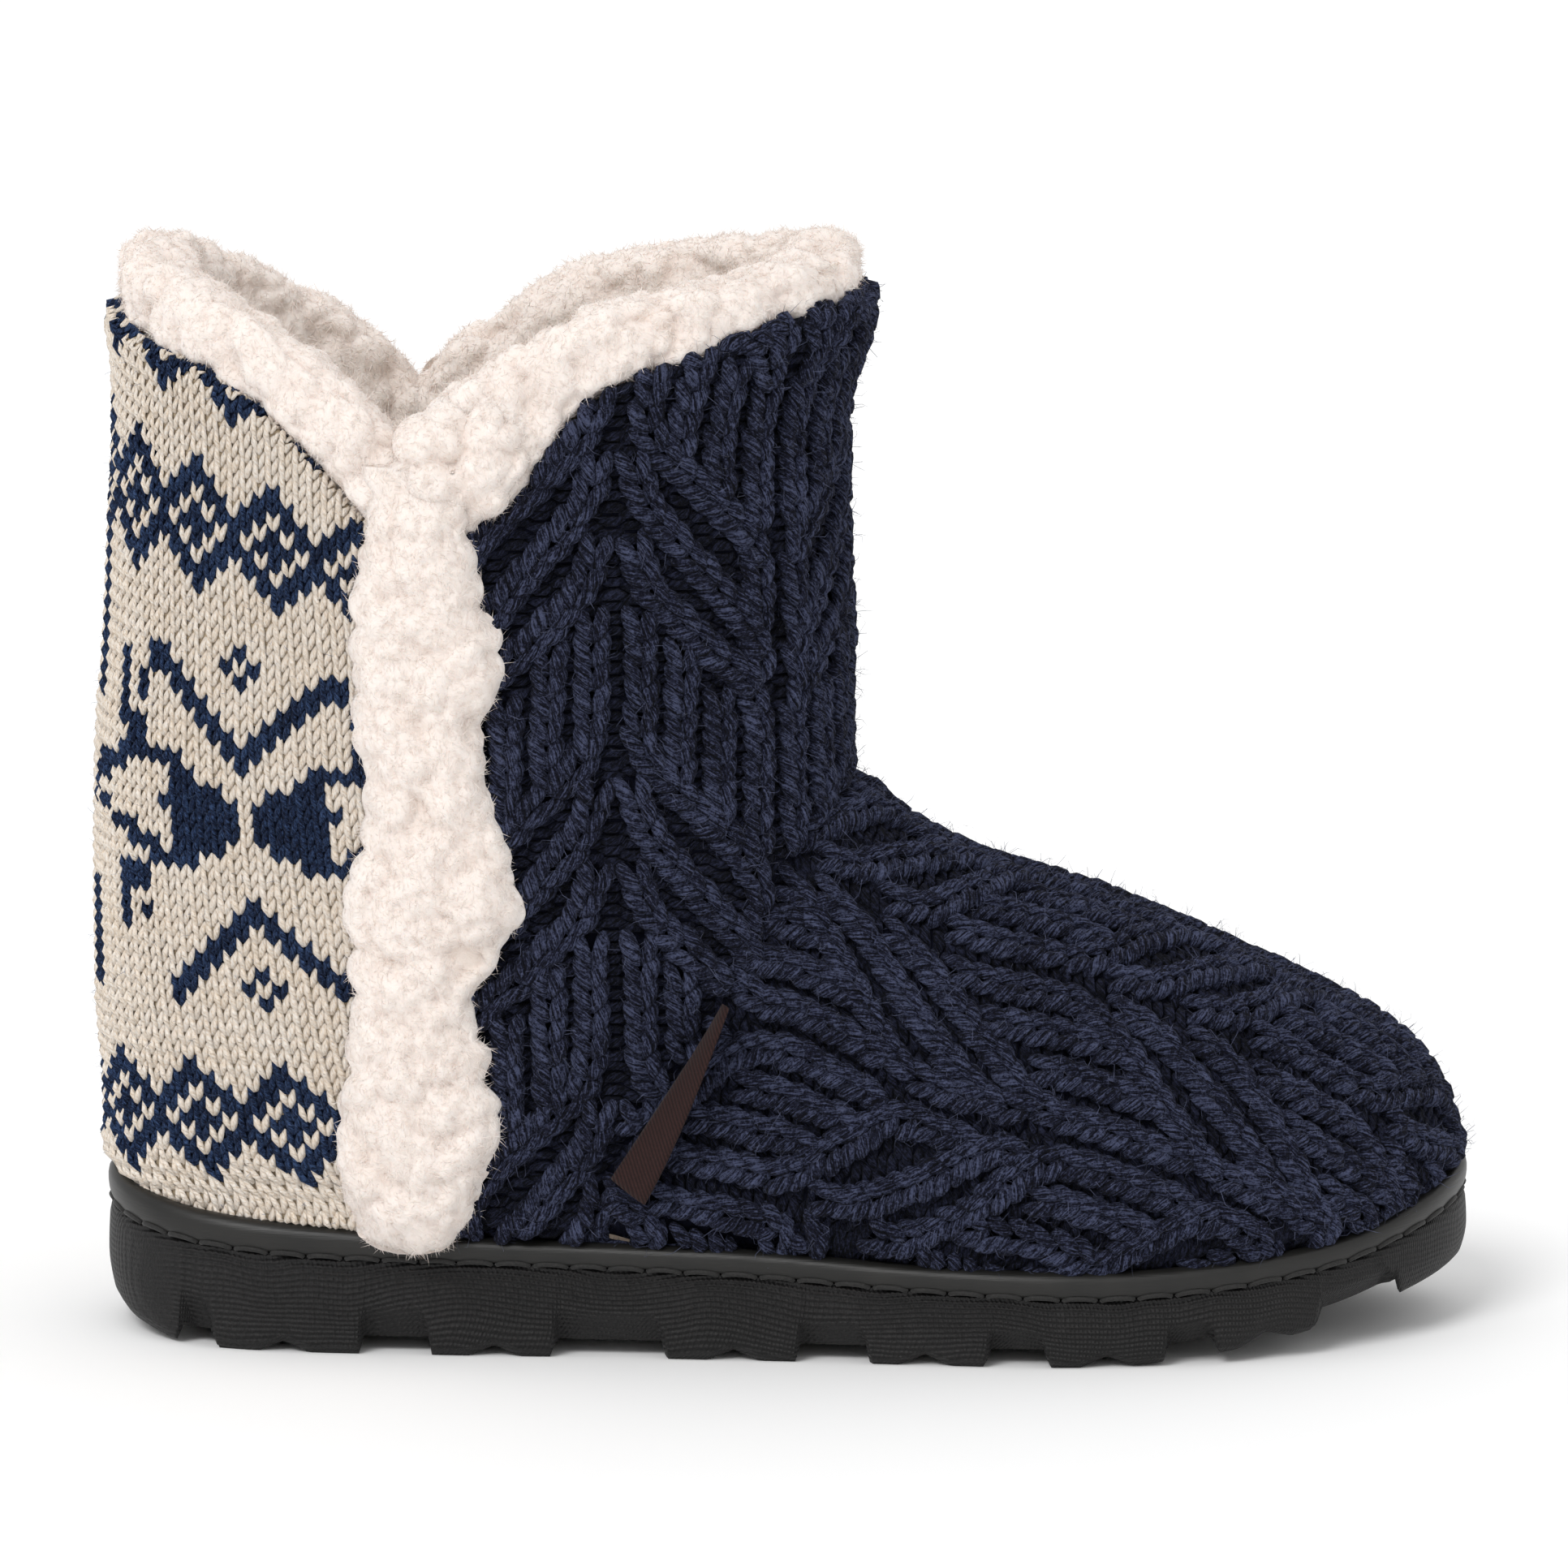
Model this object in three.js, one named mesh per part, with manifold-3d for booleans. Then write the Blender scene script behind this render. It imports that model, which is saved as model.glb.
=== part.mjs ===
// A knitted slipper boot for the right foot, standing empty on its sole. Millimetres.
// +X runs from the heel to the toe, +Y to the inner (medial) side, -Y to the outer (lateral) side, +Z up.
// The origin is on the floor under the middle of the boot.
//
// The upper is one hollow wall, worked out as the union of two forms: a foot, whose arched
// sections stand on the outline of the sole, and a leg, whose rounded sections are stacked by height.
// Both are read as a distance from the leg's upright axis, so one function gives the whole surface.
import * as THREE from "three";
import { mergeVertices } from "three/addons/utils/BufferGeometryUtils.js";
import Module from "manifold-3d";

const wasm = await Module();
wasm.setup();

// Driving sizes
const SOLE_LENGTH = 270;
const BALL_WIDTH = 96;
const INSTEP_HEIGHT = 108.5;
const BOOT_HEIGHT = 217;
const WALL = 6;
const GAP = 0.3;

// The tables below are written for a boot of these sizes, and are graded to the driving sizes.
const TABLE_SIZE = { length: 270, width: 96, foot: 108.5, leg: 217 };
const GRADE = {
  length: SOLE_LENGTH / TABLE_SIZE.length,
  width: BALL_WIDTH / TABLE_SIZE.width,
  foot: INSTEP_HEIGHT / TABLE_SIZE.foot,
  leg: BOOT_HEIGHT / TABLE_SIZE.leg,
};
const HALF_LENGTH = SOLE_LENGTH / 2;
const LEG_AXIS_X = -58 * GRADE.length;
const TREAD_DEPTH = 3.2;
const HEEL_ROUNDNESS = 7;
const TOE_ROUNDNESS = 5;

// The sole seen from above: where its middle line runs, and half its width there.
const PLAN = [
  { x: -135, centre: 0, half: 37.2 },
  { x: -95, centre: 0, half: 37.2 },
  { x: -50, centre: -1, half: 37.5 },
  { x: -10, centre: -1.8, half: 39.3 },
  { x: 30, centre: -1, half: 44 },
  { x: 60, centre: 1.5, half: 48 },
  { x: 85, centre: 3, half: 48 },
  { x: 110, centre: 5.5, half: 46 },
  { x: 135, centre: 9, half: 43 },
];

// The sole seen from the side: the tread, the stitched groove on top of it, and the top of the rand.
const SIDE = [
  { x: -135, tread: 6, groove: 25, rand: 32.4 },
  { x: -128, tread: 2.8, groove: 23.2, rand: 30 },
  { x: -114, tread: 0, groove: 21, rand: 27.4 },
  { x: -90, tread: 0, groove: 19.4, rand: 25.4 },
  { x: -50, tread: 0, groove: 18.5, rand: 23.4 },
  { x: -10, tread: 0, groove: 17.2, rand: 22.4 },
  { x: 30, tread: 0, groove: 14.8, rand: 19.8 },
  { x: 62, tread: 0, groove: 13.6, rand: 19.1 },
  { x: 76, tread: 1, groove: 14.3, rand: 19.6 },
  { x: 90, tread: 3, groove: 15.6, rand: 20.6 },
  { x: 108, tread: 6.2, groove: 18, rand: 23 },
  { x: 123, tread: 10, groove: 22, rand: 27.4 },
  { x: 135, tread: 12.4, groove: 26, rand: 32.6 },
];

// The ridge of the foot, from inside the leg over the instep to the toe.
const INSTEP = [
  { x: -140, top: 132 },
  { x: -40, top: 126 },
  { x: 0, top: 117.5 },
  { x: 16, top: 108.5 },
  { x: 25, top: 101.8 },
  { x: 37, top: 95.4 },
  { x: 58, top: 88.6 },
  { x: 75, top: 81.8 },
  { x: 90, top: 75 },
  { x: 104, top: 68.4 },
  { x: 117, top: 61.4 },
  { x: 125, top: 55 },
  { x: 130, top: 48.6 },
  { x: 133, top: 41.6 },
  { x: 134.2, top: 34 },
  { x: 134.5, top: 20 },
];

// The leg by height: its back line, its front line and half its width.
const LEG = [
  { z: 12, back: -130.5, front: 30, half: 34 },
  { z: 30, back: -133, front: 30, half: 36.5 },
  { z: 38, back: -136, front: 27, half: 39.5 },
  { z: 50, back: -136.2, front: 25, half: 41.5 },
  { z: 66, back: -137.3, front: 21.5, half: 43.5 },
  { z: 84, back: -137.4, front: 17.5, half: 45 },
  { z: 104, back: -137.2, front: 13.8, half: 46 },
  { z: 116, back: -136.9, front: 13.3, half: 46.3 },
  { z: 141, back: -135.1, front: 13.5, half: 46.7 },
  { z: 160, back: -134.2, front: 12.9, half: 47 },
  { z: 182, back: -133.1, front: 12.8, half: 47.3 },
  { z: 192, back: -133.2, front: 15, half: 47.5 },
  { z: 201, back: -134.4, front: 17.8, half: 48 },
  { z: 210, back: -134, front: 17.8, half: 48 },
];

// The collar: the knitted edge, the crest of the fleece rolled over it, and how far the roll's outer side
// stands out from the knit. Both edges dip to a notch on each side. Angles are from the toe.
const COLLAR = [
  { angle: 0, knit: 208, crest: 217, out: -4 },
  { angle: 25, knit: 206.5, crest: 214, out: -3.6 },
  { angle: 43, knit: 200, crest: 211, out: -2.5 },
  { angle: 60, knit: 194, crest: 208, out: -1.4 },
  { angle: 70, knit: 187, crest: 205.5, out: -0.8 },
  { angle: 80, knit: 174, crest: 201.5, out: 0 },
  { angle: 88, knit: 167.5, crest: 197, out: 0.5 },
  { angle: 100, knit: 164.5, crest: 191, out: 0.8 },
  { angle: 110, knit: 164.5, crest: 185, out: 0.8 },
  { angle: 118, knit: 169, crest: 190, out: 0.2 },
  { angle: 128, knit: 179.5, crest: 197.5, out: -1 },
  { angle: 142, knit: 192, crest: 205, out: -2.4 },
  { angle: 158, knit: 199, crest: 212, out: -3.6 },
  { angle: 180, knit: 205, crest: 217, out: -4.2 },
];
const NOTCH_ANGLE = 110;

// The fleece band over each side seam: its back edge and its front edge by height.
const STRIP = [
  { z: 28, back: -84.5, front: -62 },
  { z: 43, back: -87, front: -57 },
  { z: 51, back: -86, front: -55.5 },
  { z: 57, back: -85.5, front: -59 },
  { z: 63, back: -84.5, front: -57.5 },
  { z: 70, back: -83.5, front: -61 },
  { z: 82, back: -84, front: -55.5 },
  { z: 92, back: -84.5, front: -50.5 },
  { z: 100, back: -83, front: -52.5 },
  { z: 113, back: -80.5, front: -57 },
  { z: 126, back: -82.5, front: -58 },
  { z: 141, back: -83, front: -54.5 },
  { z: 153, back: -83, front: -58.5 },
  { z: 163, back: -80, front: -60.5 },
];

// Blocks of the tread, heel to toe, with the small notch that splits each of them.
const LUGS = [
  { from: -140, to: -119, notch: null },
  { from: -113, to: -83, notch: -98.5 },
  { from: -70, to: -45, notch: -57 },
  { from: -24, to: 3, notch: -10 },
  { from: 16, to: 40, notch: 27.5 },
  { from: 51, to: 75, notch: 63 },
  { from: 84, to: 105, notch: 94 },
  { from: 120, to: 140, notch: null },
];

// A smooth curve through one column of a table (a cubic with no overshoot), graded in its key and its value.
function column(rows, key, name, keyGrade, valueGrade) {
  const at = rows.map((row) => row[key] * keyGrade);
  const value = rows.map((row) => row[name] * valueGrade);
  const rise = at.slice(1).map((a, i) => (value[i + 1] - value[i]) / (a - at[i]));
  const slope = at.map((_, i) => {
    if (i === 0) return rise[0];
    if (i === at.length - 1) return rise[i - 1];
    const [before, after] = [rise[i - 1], rise[i]];
    return before * after <= 0 ? 0 : (2 * before * after) / (before + after);
  });
  return (x) => {
    if (x <= at[0]) return value[0];
    if (x >= at.at(-1)) return value.at(-1);
    const i = at.findIndex((a) => a > x) - 1;
    const span = at[i + 1] - at[i];
    const t = (x - at[i]) / span;
    const ease = t * t * (3 - 2 * t);
    const bend = t * (1 - t) * ((1 - t) * slope[i] - t * slope[i + 1]) * span;
    return value[i] + (value[i + 1] - value[i]) * ease + bend;
  };
}

const planCentre = column(PLAN, "x", "centre", GRADE.length, GRADE.width);
const planHalf = column(PLAN, "x", "half", GRADE.length, GRADE.width);
const treadHeight = column(SIDE, "x", "tread", GRADE.length, GRADE.foot);
const grooveHeight = column(SIDE, "x", "groove", GRADE.length, GRADE.foot);
const randHeight = column(SIDE, "x", "rand", GRADE.length, GRADE.foot);
const instepHeight = column(INSTEP, "x", "top", GRADE.length, GRADE.foot);
const legBack = column(LEG, "z", "back", GRADE.leg, GRADE.length);
const legFront = column(LEG, "z", "front", GRADE.leg, GRADE.length);
const legHalf = column(LEG, "z", "half", GRADE.leg, GRADE.width);
const knitEdge = column(COLLAR, "angle", "knit", 1, GRADE.leg);
const rollCrest = column(COLLAR, "angle", "crest", 1, GRADE.leg);
const rollOut = column(COLLAR, "angle", "out", 1, 1);
const stripBack = column(STRIP, "z", "back", GRADE.leg, GRADE.length);
const stripFront = column(STRIP, "z", "front", GRADE.leg, GRADE.length);

const radians = THREE.MathUtils.degToRad;
const clamp = THREE.MathUtils.clamp;

// How full the sole's outline is at x: 1 at the middle, falling to 0 at the ends of its length.
function planShare(x, halfLength) {
  const u = Math.abs(x / halfLength);
  return u < 1 ? Math.sqrt(1 - u ** (x < 0 ? HEEL_ROUNDNESS : TOE_ROUNDNESS)) : 0;
}

// The sole's outline, moved out by some millimetres.
// The turn runs from the heel (0) by the outer side to the toe (pi).
function soleOutline(turn, out) {
  const rim = (a) => {
    const x = -HALF_LENGTH * Math.cos(a);
    const across = planHalf(x) * planShare(x, HALF_LENGTH);
    return new THREE.Vector2(x, planCentre(x) - Math.sign(Math.sin(a)) * across);
  };
  const step = 1e-3;
  const along = rim(turn + step).sub(rim(turn - step)).normalize();
  return rim(turn).add(new THREE.Vector2(along.y, -along.x).multiplyScalar(out));
}

// Half the width of the foot at x and height z: an arch that stands on the outline of the sole.
const BELLY = 1.6;
const ARCH_POWER = 2.15;
const FOOT_HEEL_X = -112 * GRADE.length;
const FOOT_TOE_X = HALF_LENGTH - 0.6;
function footHalf(x, z) {
  const base = grooveHeight(x);
  const top = instepHeight(x);
  if (x <= FOOT_HEEL_X || x >= FOOT_TOE_X || z >= top) return -1;
  const share = clamp((z - base) / (top - base), 0, 1);
  const u = x < 0 ? x / FOOT_HEEL_X : x / FOOT_TOE_X;
  const plan = planHalf(x) * Math.sqrt(1 - u ** TOE_ROUNDNESS);
  const arch = (1 - share ** ARCH_POWER) ** (1 / ARCH_POWER);
  return (plan + BELLY * Math.sin(Math.PI * Math.sqrt(share))) * arch;
}

// The largest distance from the leg's axis that is still inside a form.
function edgeOf(inside) {
  let [low, high] = [0, 230];
  for (let i = 0; i < 26; i++) {
    const middle = (low + high) / 2;
    if (inside(middle)) low = middle;
    else high = middle;
  }
  return low;
}

// Where the inner face of the rand is under an angle from the axis, and the height that just clears the rand.
const RAND_THICKNESS = 3;
const randSeats = new Map();
function randSeat(angle) {
  if (!randSeats.has(angle)) {
    const inset = RAND_THICKNESS + 2 * GAP;
    const reach = edgeOf((r) => {
      const x = LEG_AXIS_X + r * Math.cos(angle);
      const half = (planHalf(x) - inset) * planShare(x, HALF_LENGTH - inset);
      return Math.abs(r * Math.sin(angle) - planCentre(x)) < half;
    });
    const x = LEG_AXIS_X + (reach + inset) * Math.cos(angle);
    randSeats.set(angle, { reach, top: randHeight(x) + GAP });
  }
  return randSeats.get(angle);
}

const softMax = (a, b, soft) => (a + b + Math.sqrt((a - b) ** 2 + soft ** 2)) / 2;
const softMin = (a, b, soft) => (a + b - Math.sqrt((a - b) ** 2 + soft ** 2)) / 2;

// How far the upper reaches from the leg's axis, at an angle from the toe and a height.
// The rand holds its foot in, and above the rand it swells out again.
const LEG_POWER = 2.35;
const ANKLE_SOFTNESS = 5;
const RAND_SOFTNESS = 1.5;
const SWELL = 3.2;
function upperReach(angle, z) {
  const [dx, dy] = [Math.cos(angle), Math.sin(angle)];
  const [centre, length] = [(legFront(z) + legBack(z)) / 2, (legFront(z) - legBack(z)) / 2];
  const leg = edgeOf((r) => {
    const along = Math.abs((LEG_AXIS_X + r * dx - centre) / length);
    const across = Math.abs((r * dy) / legHalf(z));
    return along ** LEG_POWER + across ** LEG_POWER < 1;
  });
  const foot = edgeOf((r) => {
    const x = LEG_AXIS_X + r * dx;
    return Math.abs(r * dy - planCentre(x)) < footHalf(x, z);
  });
  const free = softMax(leg, foot, ANKLE_SOFTNESS) - 0.5;
  const seat = randSeat(angle);
  const held = seat.reach + SWELL * Math.sqrt(Math.max(0, z - seat.top));
  return softMin(free, held, RAND_SOFTNESS);
}

function upperPoint(angle, z) {
  const r = upperReach(angle, z);
  return new THREE.Vector3(LEG_AXIS_X + r * Math.cos(angle), r * Math.sin(angle), z);
}

// The same point moved out along the surface's normal.
function upperOffset(angle, z, out) {
  const step = { angle: 0.02, z: 1.5 };
  const around = upperPoint(angle + step.angle, z).sub(upperPoint(angle - step.angle, z));
  const up = upperPoint(angle, z + step.z).sub(upperPoint(angle, z - step.z));
  return upperPoint(angle, z).addScaledVector(around.cross(up).normalize(), out);
}

// Where the upper meets the sole under an angle: the height there follows the sole's groove.
function upperFoot(angle) {
  let z = grooveHeight(LEG_AXIS_X);
  for (let i = 0; i < 12; i++) z = grooveHeight(upperPoint(angle, z).x);
  return z + GAP;
}

const wrapped = (angle) => Math.atan2(Math.sin(angle), Math.cos(angle));
const degreesFromToe = (angle) => Math.abs(THREE.MathUtils.radToDeg(wrapped(angle)));
const knitEdgeAt = (angle) => knitEdge(degreesFromToe(angle));
const rollCrestAt = (angle) => rollCrest(degreesFromToe(angle));

// A closed surface through rings of points.
// Joined rings make a ring-shaped body; otherwise the first and last rings are capped.
function skin(rings, joined = false) {
  const [count, size] = [rings.length, rings[0].length];
  const positions = rings.flat().flatMap((p) => [p.x, p.y, p.z]);
  const index = [];
  const at = (i, j) => (i % count) * size + (j % size);
  for (let i = 0; i < (joined ? count : count - 1); i++)
    for (let j = 0; j < size; j++) {
      index.push(at(i, j), at(i + 1, j), at(i + 1, j + 1));
      index.push(at(i, j), at(i + 1, j + 1), at(i, j + 1));
    }
  if (!joined)
    for (let j = 1; j < size - 1; j++) {
      index.push(at(0, 0), at(0, j), at(0, j + 1));
      index.push(at(count - 1, 0), at(count - 1, j + 1), at(count - 1, j));
    }
  return closed(positions, index);
}

// A geometry with its shared corners merged and its empty triangles left out, its faces pointing out.
function closed(positions, index) {
  const raw = new THREE.BufferGeometry();
  raw.setAttribute("position", new THREE.Float32BufferAttribute(positions, 3));
  raw.setIndex(index);
  const merged = mergeVertices(raw, 2e-3);
  const [corner, kept] = [merged.index.array, []];
  for (let i = 0; i < corner.length; i += 3) {
    const [a, b, c] = corner.slice(i, i + 3);
    if (a !== b && b !== c && c !== a) kept.push(a, b, c);
  }
  const p = merged.attributes.position;
  const [a, b, c] = [new THREE.Vector3(), new THREE.Vector3(), new THREE.Vector3()];
  let volume = 0;
  for (let i = 0; i < kept.length; i += 3) {
    a.fromBufferAttribute(p, kept[i]);
    b.fromBufferAttribute(p, kept[i + 1]);
    c.fromBufferAttribute(p, kept[i + 2]);
    volume += a.dot(b.cross(c));
  }
  merged.setIndex(volume < 0 ? kept.reverse() : kept);
  return merged;
}

function toSolid(geometry) {
  const bare = new THREE.BufferGeometry();
  bare.setAttribute("position", geometry.getAttribute("position"));
  if (geometry.index) bare.setIndex(geometry.index);
  const merged = mergeVertices(bare, 1e-4);
  const mesh = { numProp: 3, vertProperties: merged.attributes.position.array };
  return new wasm.Manifold(new wasm.Mesh({ ...mesh, triVerts: new Uint32Array(merged.index.array) }));
}

function fromSolid(solid) {
  const { vertProperties, triVerts } = solid.getMesh();
  return closed(Array.from(vertProperties), Array.from(triVerts));
}

const range = (count, make) => Array.from({ length: count }, (_, i) => make(i));

// The sole as a stack of outlines. Each row of the wall is a share of the height and a move outwards.
const SOLE_STATIONS = 60;
function soleBody(wall, treadLift) {
  const rings = wall.map(({ share, out }) =>
    range(SOLE_STATIONS, (i) => {
      const p = soleOutline((i / SOLE_STATIONS) * 2 * Math.PI, out);
      const low = treadHeight(p.x) + treadLift;
      return new THREE.Vector3(p.x, p.y, low + (grooveHeight(p.x) - low) * share);
    }),
  );
  return stack(rings);
}

// Stacked rings, closed below and above by strips that run from side to side.
function stack(rings) {
  const size = rings[0].length;
  const positions = rings.flat().flatMap((p) => [p.x, p.y, p.z]);
  const index = [];
  const at = (i, j) => i * size + ((j + size) % size);
  for (let i = 0; i < rings.length - 1; i++)
    for (let j = 0; j < size; j++) {
      index.push(at(i, j), at(i, j + 1), at(i + 1, j + 1));
      index.push(at(i, j), at(i + 1, j + 1), at(i + 1, j));
    }
  const top = rings.length - 1;
  for (let j = 0; j < size / 2; j++) {
    index.push(at(0, j), at(0, -j), at(0, -j - 1), at(0, j), at(0, -j - 1), at(0, j + 1));
    index.push(at(top, j), at(top, -j - 1), at(top, -j), at(top, j), at(top, j + 1), at(top, -j - 1));
  }
  return closed(positions, index);
}

// Outsole: a core whose wall draws in towards the tread,
// and blocks that keep the full outline down to the floor.
const FULL_WALL = [
  { share: 0, out: -2.6 },
  { share: 0.1, out: -1 },
  { share: 0.45, out: 0 },
  { share: 0.85, out: -0.3 },
  { share: 1, out: -1.2 },
];
const CORE_WALL = [
  { share: 0, out: -4.6 },
  { share: 0.2, out: -2.6 },
  { share: 0.5, out: -0.25 },
  { share: 0.8, out: -0.6 },
  { share: 0.97, out: -2.4 },
];
const BELOW_FLOOR = -5;
const LUG_SLANT = { front: 1, back: 3.4 };
const LUG_TOP_SHARE = 0.62;
const LUG_FADE = 1;
const NOTCH = { half: 5.2, depth: 2.2, below: 0.6 };
const TREAD_CHANNEL = { from: -78, to: 108, half: 4.5, depth: 2.6 };

const lugTop = (x) => treadHeight(x) + (grooveHeight(x) - treadHeight(x)) * LUG_TOP_SHARE;

function lugBlock(row) {
  const [from, to] = [row.from * GRADE.length, row.to * GRADE.length];
  const side = new THREE.Shape();
  side.moveTo(from, BELOW_FLOOR);
  side.lineTo(to, BELOW_FLOOR);
  side.lineTo(to + LUG_SLANT.front, lugTop(to));
  side.lineTo(from - LUG_SLANT.back, lugTop(from));
  const block = toSolid(acrossWidth(side));
  if (row.notch === null) return block;
  const notch = row.notch * GRADE.length;
  const foot = treadHeight(notch);
  const cut = new THREE.Shape();
  cut.moveTo(notch - NOTCH.half, foot - NOTCH.below);
  cut.lineTo(notch + NOTCH.half, foot - NOTCH.below);
  cut.lineTo(notch, foot + NOTCH.depth);
  return block.subtract(toSolid(acrossWidth(cut)));
}

// A side view (x, z) carried across the whole width of the sole.
const OVER_WIDTH = 140;
function acrossWidth(shape) {
  const made = new THREE.ExtrudeGeometry(shape, { depth: OVER_WIDTH, bevelEnabled: false });
  return made.rotateX(Math.PI / 2).translate(0, OVER_WIDTH / 2, 0);
}

function channelCut() {
  const { half, depth } = TREAD_CHANNEL;
  const [from, to] = [TREAD_CHANNEL.from * GRADE.length, TREAD_CHANNEL.to * GRADE.length];
  const steps = 16;
  const roof = range(steps + 1, (i) => {
    const x = from + ((to - from) * i) / steps;
    return new THREE.Vector2(x, treadHeight(x) + depth);
  });
  const corners = [new THREE.Vector2(to, BELOW_FLOOR), new THREE.Vector2(from, BELOW_FLOOR)];
  const outline = new THREE.Shape([...roof, ...corners]);
  const made = new THREE.ExtrudeGeometry(outline, { depth: 2 * half, bevelEnabled: false });
  return toSolid(made.rotateX(Math.PI / 2).translate(0, half, 0));
}

function makeOutsole() {
  const full = toSolid(soleBody(FULL_WALL, 0));
  const core = toSolid(soleBody(CORE_WALL, TREAD_DEPTH));
  const lugs = LUGS.map(lugBlock).reduce((all, one) => all.add(one));
  const topSlice = full.subtract(belowLugTops());
  return fromSolid(core.add(full.intersect(lugs)).add(topSlice).subtract(channelCut()));
}

// Everything under the height where the blocks fade into the wall.
function belowLugTops() {
  const steps = 24;
  const reach = HALF_LENGTH + 15;
  const roof = range(steps + 1, (i) => {
    const x = reach - (2 * reach * i) / steps;
    return new THREE.Vector2(x, lugTop(x) - LUG_FADE);
  });
  const corners = [new THREE.Vector2(-reach, BELOW_FLOOR), new THREE.Vector2(reach, BELOW_FLOOR)];
  return toSolid(acrossWidth(new THREE.Shape([...corners, ...roof])));
}

// Rand: the wrapped strip round the foot of the upper, a soft bead above the stitched groove.
const RAND_BEAD = [
  { share: 0, out: -RAND_THICKNESS },
  { share: 0, out: -1 },
  { share: 0.25, out: -0.2 },
  { share: 0.6, out: 0 },
  { share: 0.9, out: -0.9 },
  { share: 1, out: -RAND_THICKNESS },
];
const RAND_STATIONS = 64;
function makeRand() {
  const rings = range(RAND_STATIONS, (i) =>
    RAND_BEAD.map(({ share, out }) => {
      const p = soleOutline((i / RAND_STATIONS) * 2 * Math.PI, out);
      const low = grooveHeight(p.x) + GAP;
      return new THREE.Vector3(p.x, p.y, low + (randHeight(p.x) - low) * share);
    }),
  );
  return skin(rings, true);
}

// Insole: a padded footbed inside the upper, following the top of the sole.
const INSOLE = { inset: 12.4, thickness: 5, stations: 56 };
function makeInsole() {
  const wall = [
    { up: GAP, out: 0 },
    { up: INSOLE.thickness * 0.8, out: 0 },
    { up: INSOLE.thickness, out: -1.6 },
  ];
  return stack(
    wall.map(({ up, out }) =>
      range(INSOLE.stations, (i) => {
        const p = soleOutline((i / INSOLE.stations) * 2 * Math.PI, out - INSOLE.inset);
        return new THREE.Vector3(p.x, p.y, grooveHeight(p.x) + up);
      }),
    ),
  );
}

// Angles round the leg's axis, closer together towards the toe, where the upper is far from the axis.
const UPPER_STATIONS = 56;
const TOE_CROWDING = 1.5;
const UPPER_ANGLES = range(UPPER_STATIONS, (i) => {
  const turn = (i / UPPER_STATIONS) * 2 - 1;
  return radians(180 * Math.sign(turn) * Math.abs(turn) ** TOE_CROWDING);
});

// Heights up one side of the wall: its foot, the swell above the rand,
// and then steps that are closer together as far as the top of the vamp.
const ANKLE_HEIGHT = INSTEP_HEIGHT + 3.5;
const VAMP_SHARE = 0.68;
const SWOLLEN_RISE = 1.6;
function wallHeights(angle, count) {
  const [low, high, rand] = [upperFoot(angle), knitEdgeAt(angle), randSeat(angle).top];
  const swollen = rand + SWOLLEN_RISE;
  const above = range(count - 2, (i) => {
    const share = i / (count - 3);
    if (share < VAMP_SHARE) return swollen + (ANKLE_HEIGHT - swollen) * (share / VAMP_SHARE);
    return ANKLE_HEIGHT + (high - ANKLE_HEIGHT) * ((share - VAMP_SHARE) / (1 - VAMP_SHARE));
  });
  return [low, rand, ...above];
}

const OUTER_LEVELS = 32;
const INNER_LEVELS = 15;
const COLLAR_ROUND = { height: 2.5, inset: 2 };
const LEAST_RISE = 0.5;
function makeUpper() {
  const rings = UPPER_ANGLES.map((angle) => {
    const top = knitEdgeAt(angle);
    const outer = wallHeights(angle, OUTER_LEVELS).map((z) => upperPoint(angle, z));
    outer.pop();
    outer.push(upperPoint(angle, top - COLLAR_ROUND.height));
    outer.push(upperOffsetLevel(angle, top, -COLLAR_ROUND.inset));
    const inner = wallHeights(angle, INNER_LEVELS).map((z, i) => {
      const p = upperOffset(angle, z, -WALL);
      const floor = grooveHeight(p.x) + GAP;
      if (i === 0) p.z = floor;
      if (z === top) p.z = top;
      p.z = Math.max(p.z, floor + i * LEAST_RISE);
      return p;
    });
    return [...outer, ...inner.reverse()];
  });
  return skin(rings, true);
}

// A point of the surface moved out level, at right angles to the outline seen from above.
function upperOffsetLevel(angle, z, out) {
  const around = upperPoint(angle + 0.02, z).sub(upperPoint(angle - 0.02, z));
  const level = new THREE.Vector3(around.y, -around.x, 0).normalize();
  return upperPoint(angle, z).addScaledVector(level, out);
}

// The lumps of curled fleece, as a swelling between -1 and 1 along a piece and across it, in millimetres.
const LUMP = { along: 11, across: 9 };
function lump(along, across) {
  const wave = (v, size) => Math.sin((v / size) * 2 * Math.PI);
  const drift = 1.3 * wave(across, 2.3 * LUMP.across);
  const curls = wave(along + drift, LUMP.along) * wave(across, 2 * LUMP.across);
  return 0.6 * curls + 0.4 * wave(along, 1.7 * LUMP.along);
}

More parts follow.
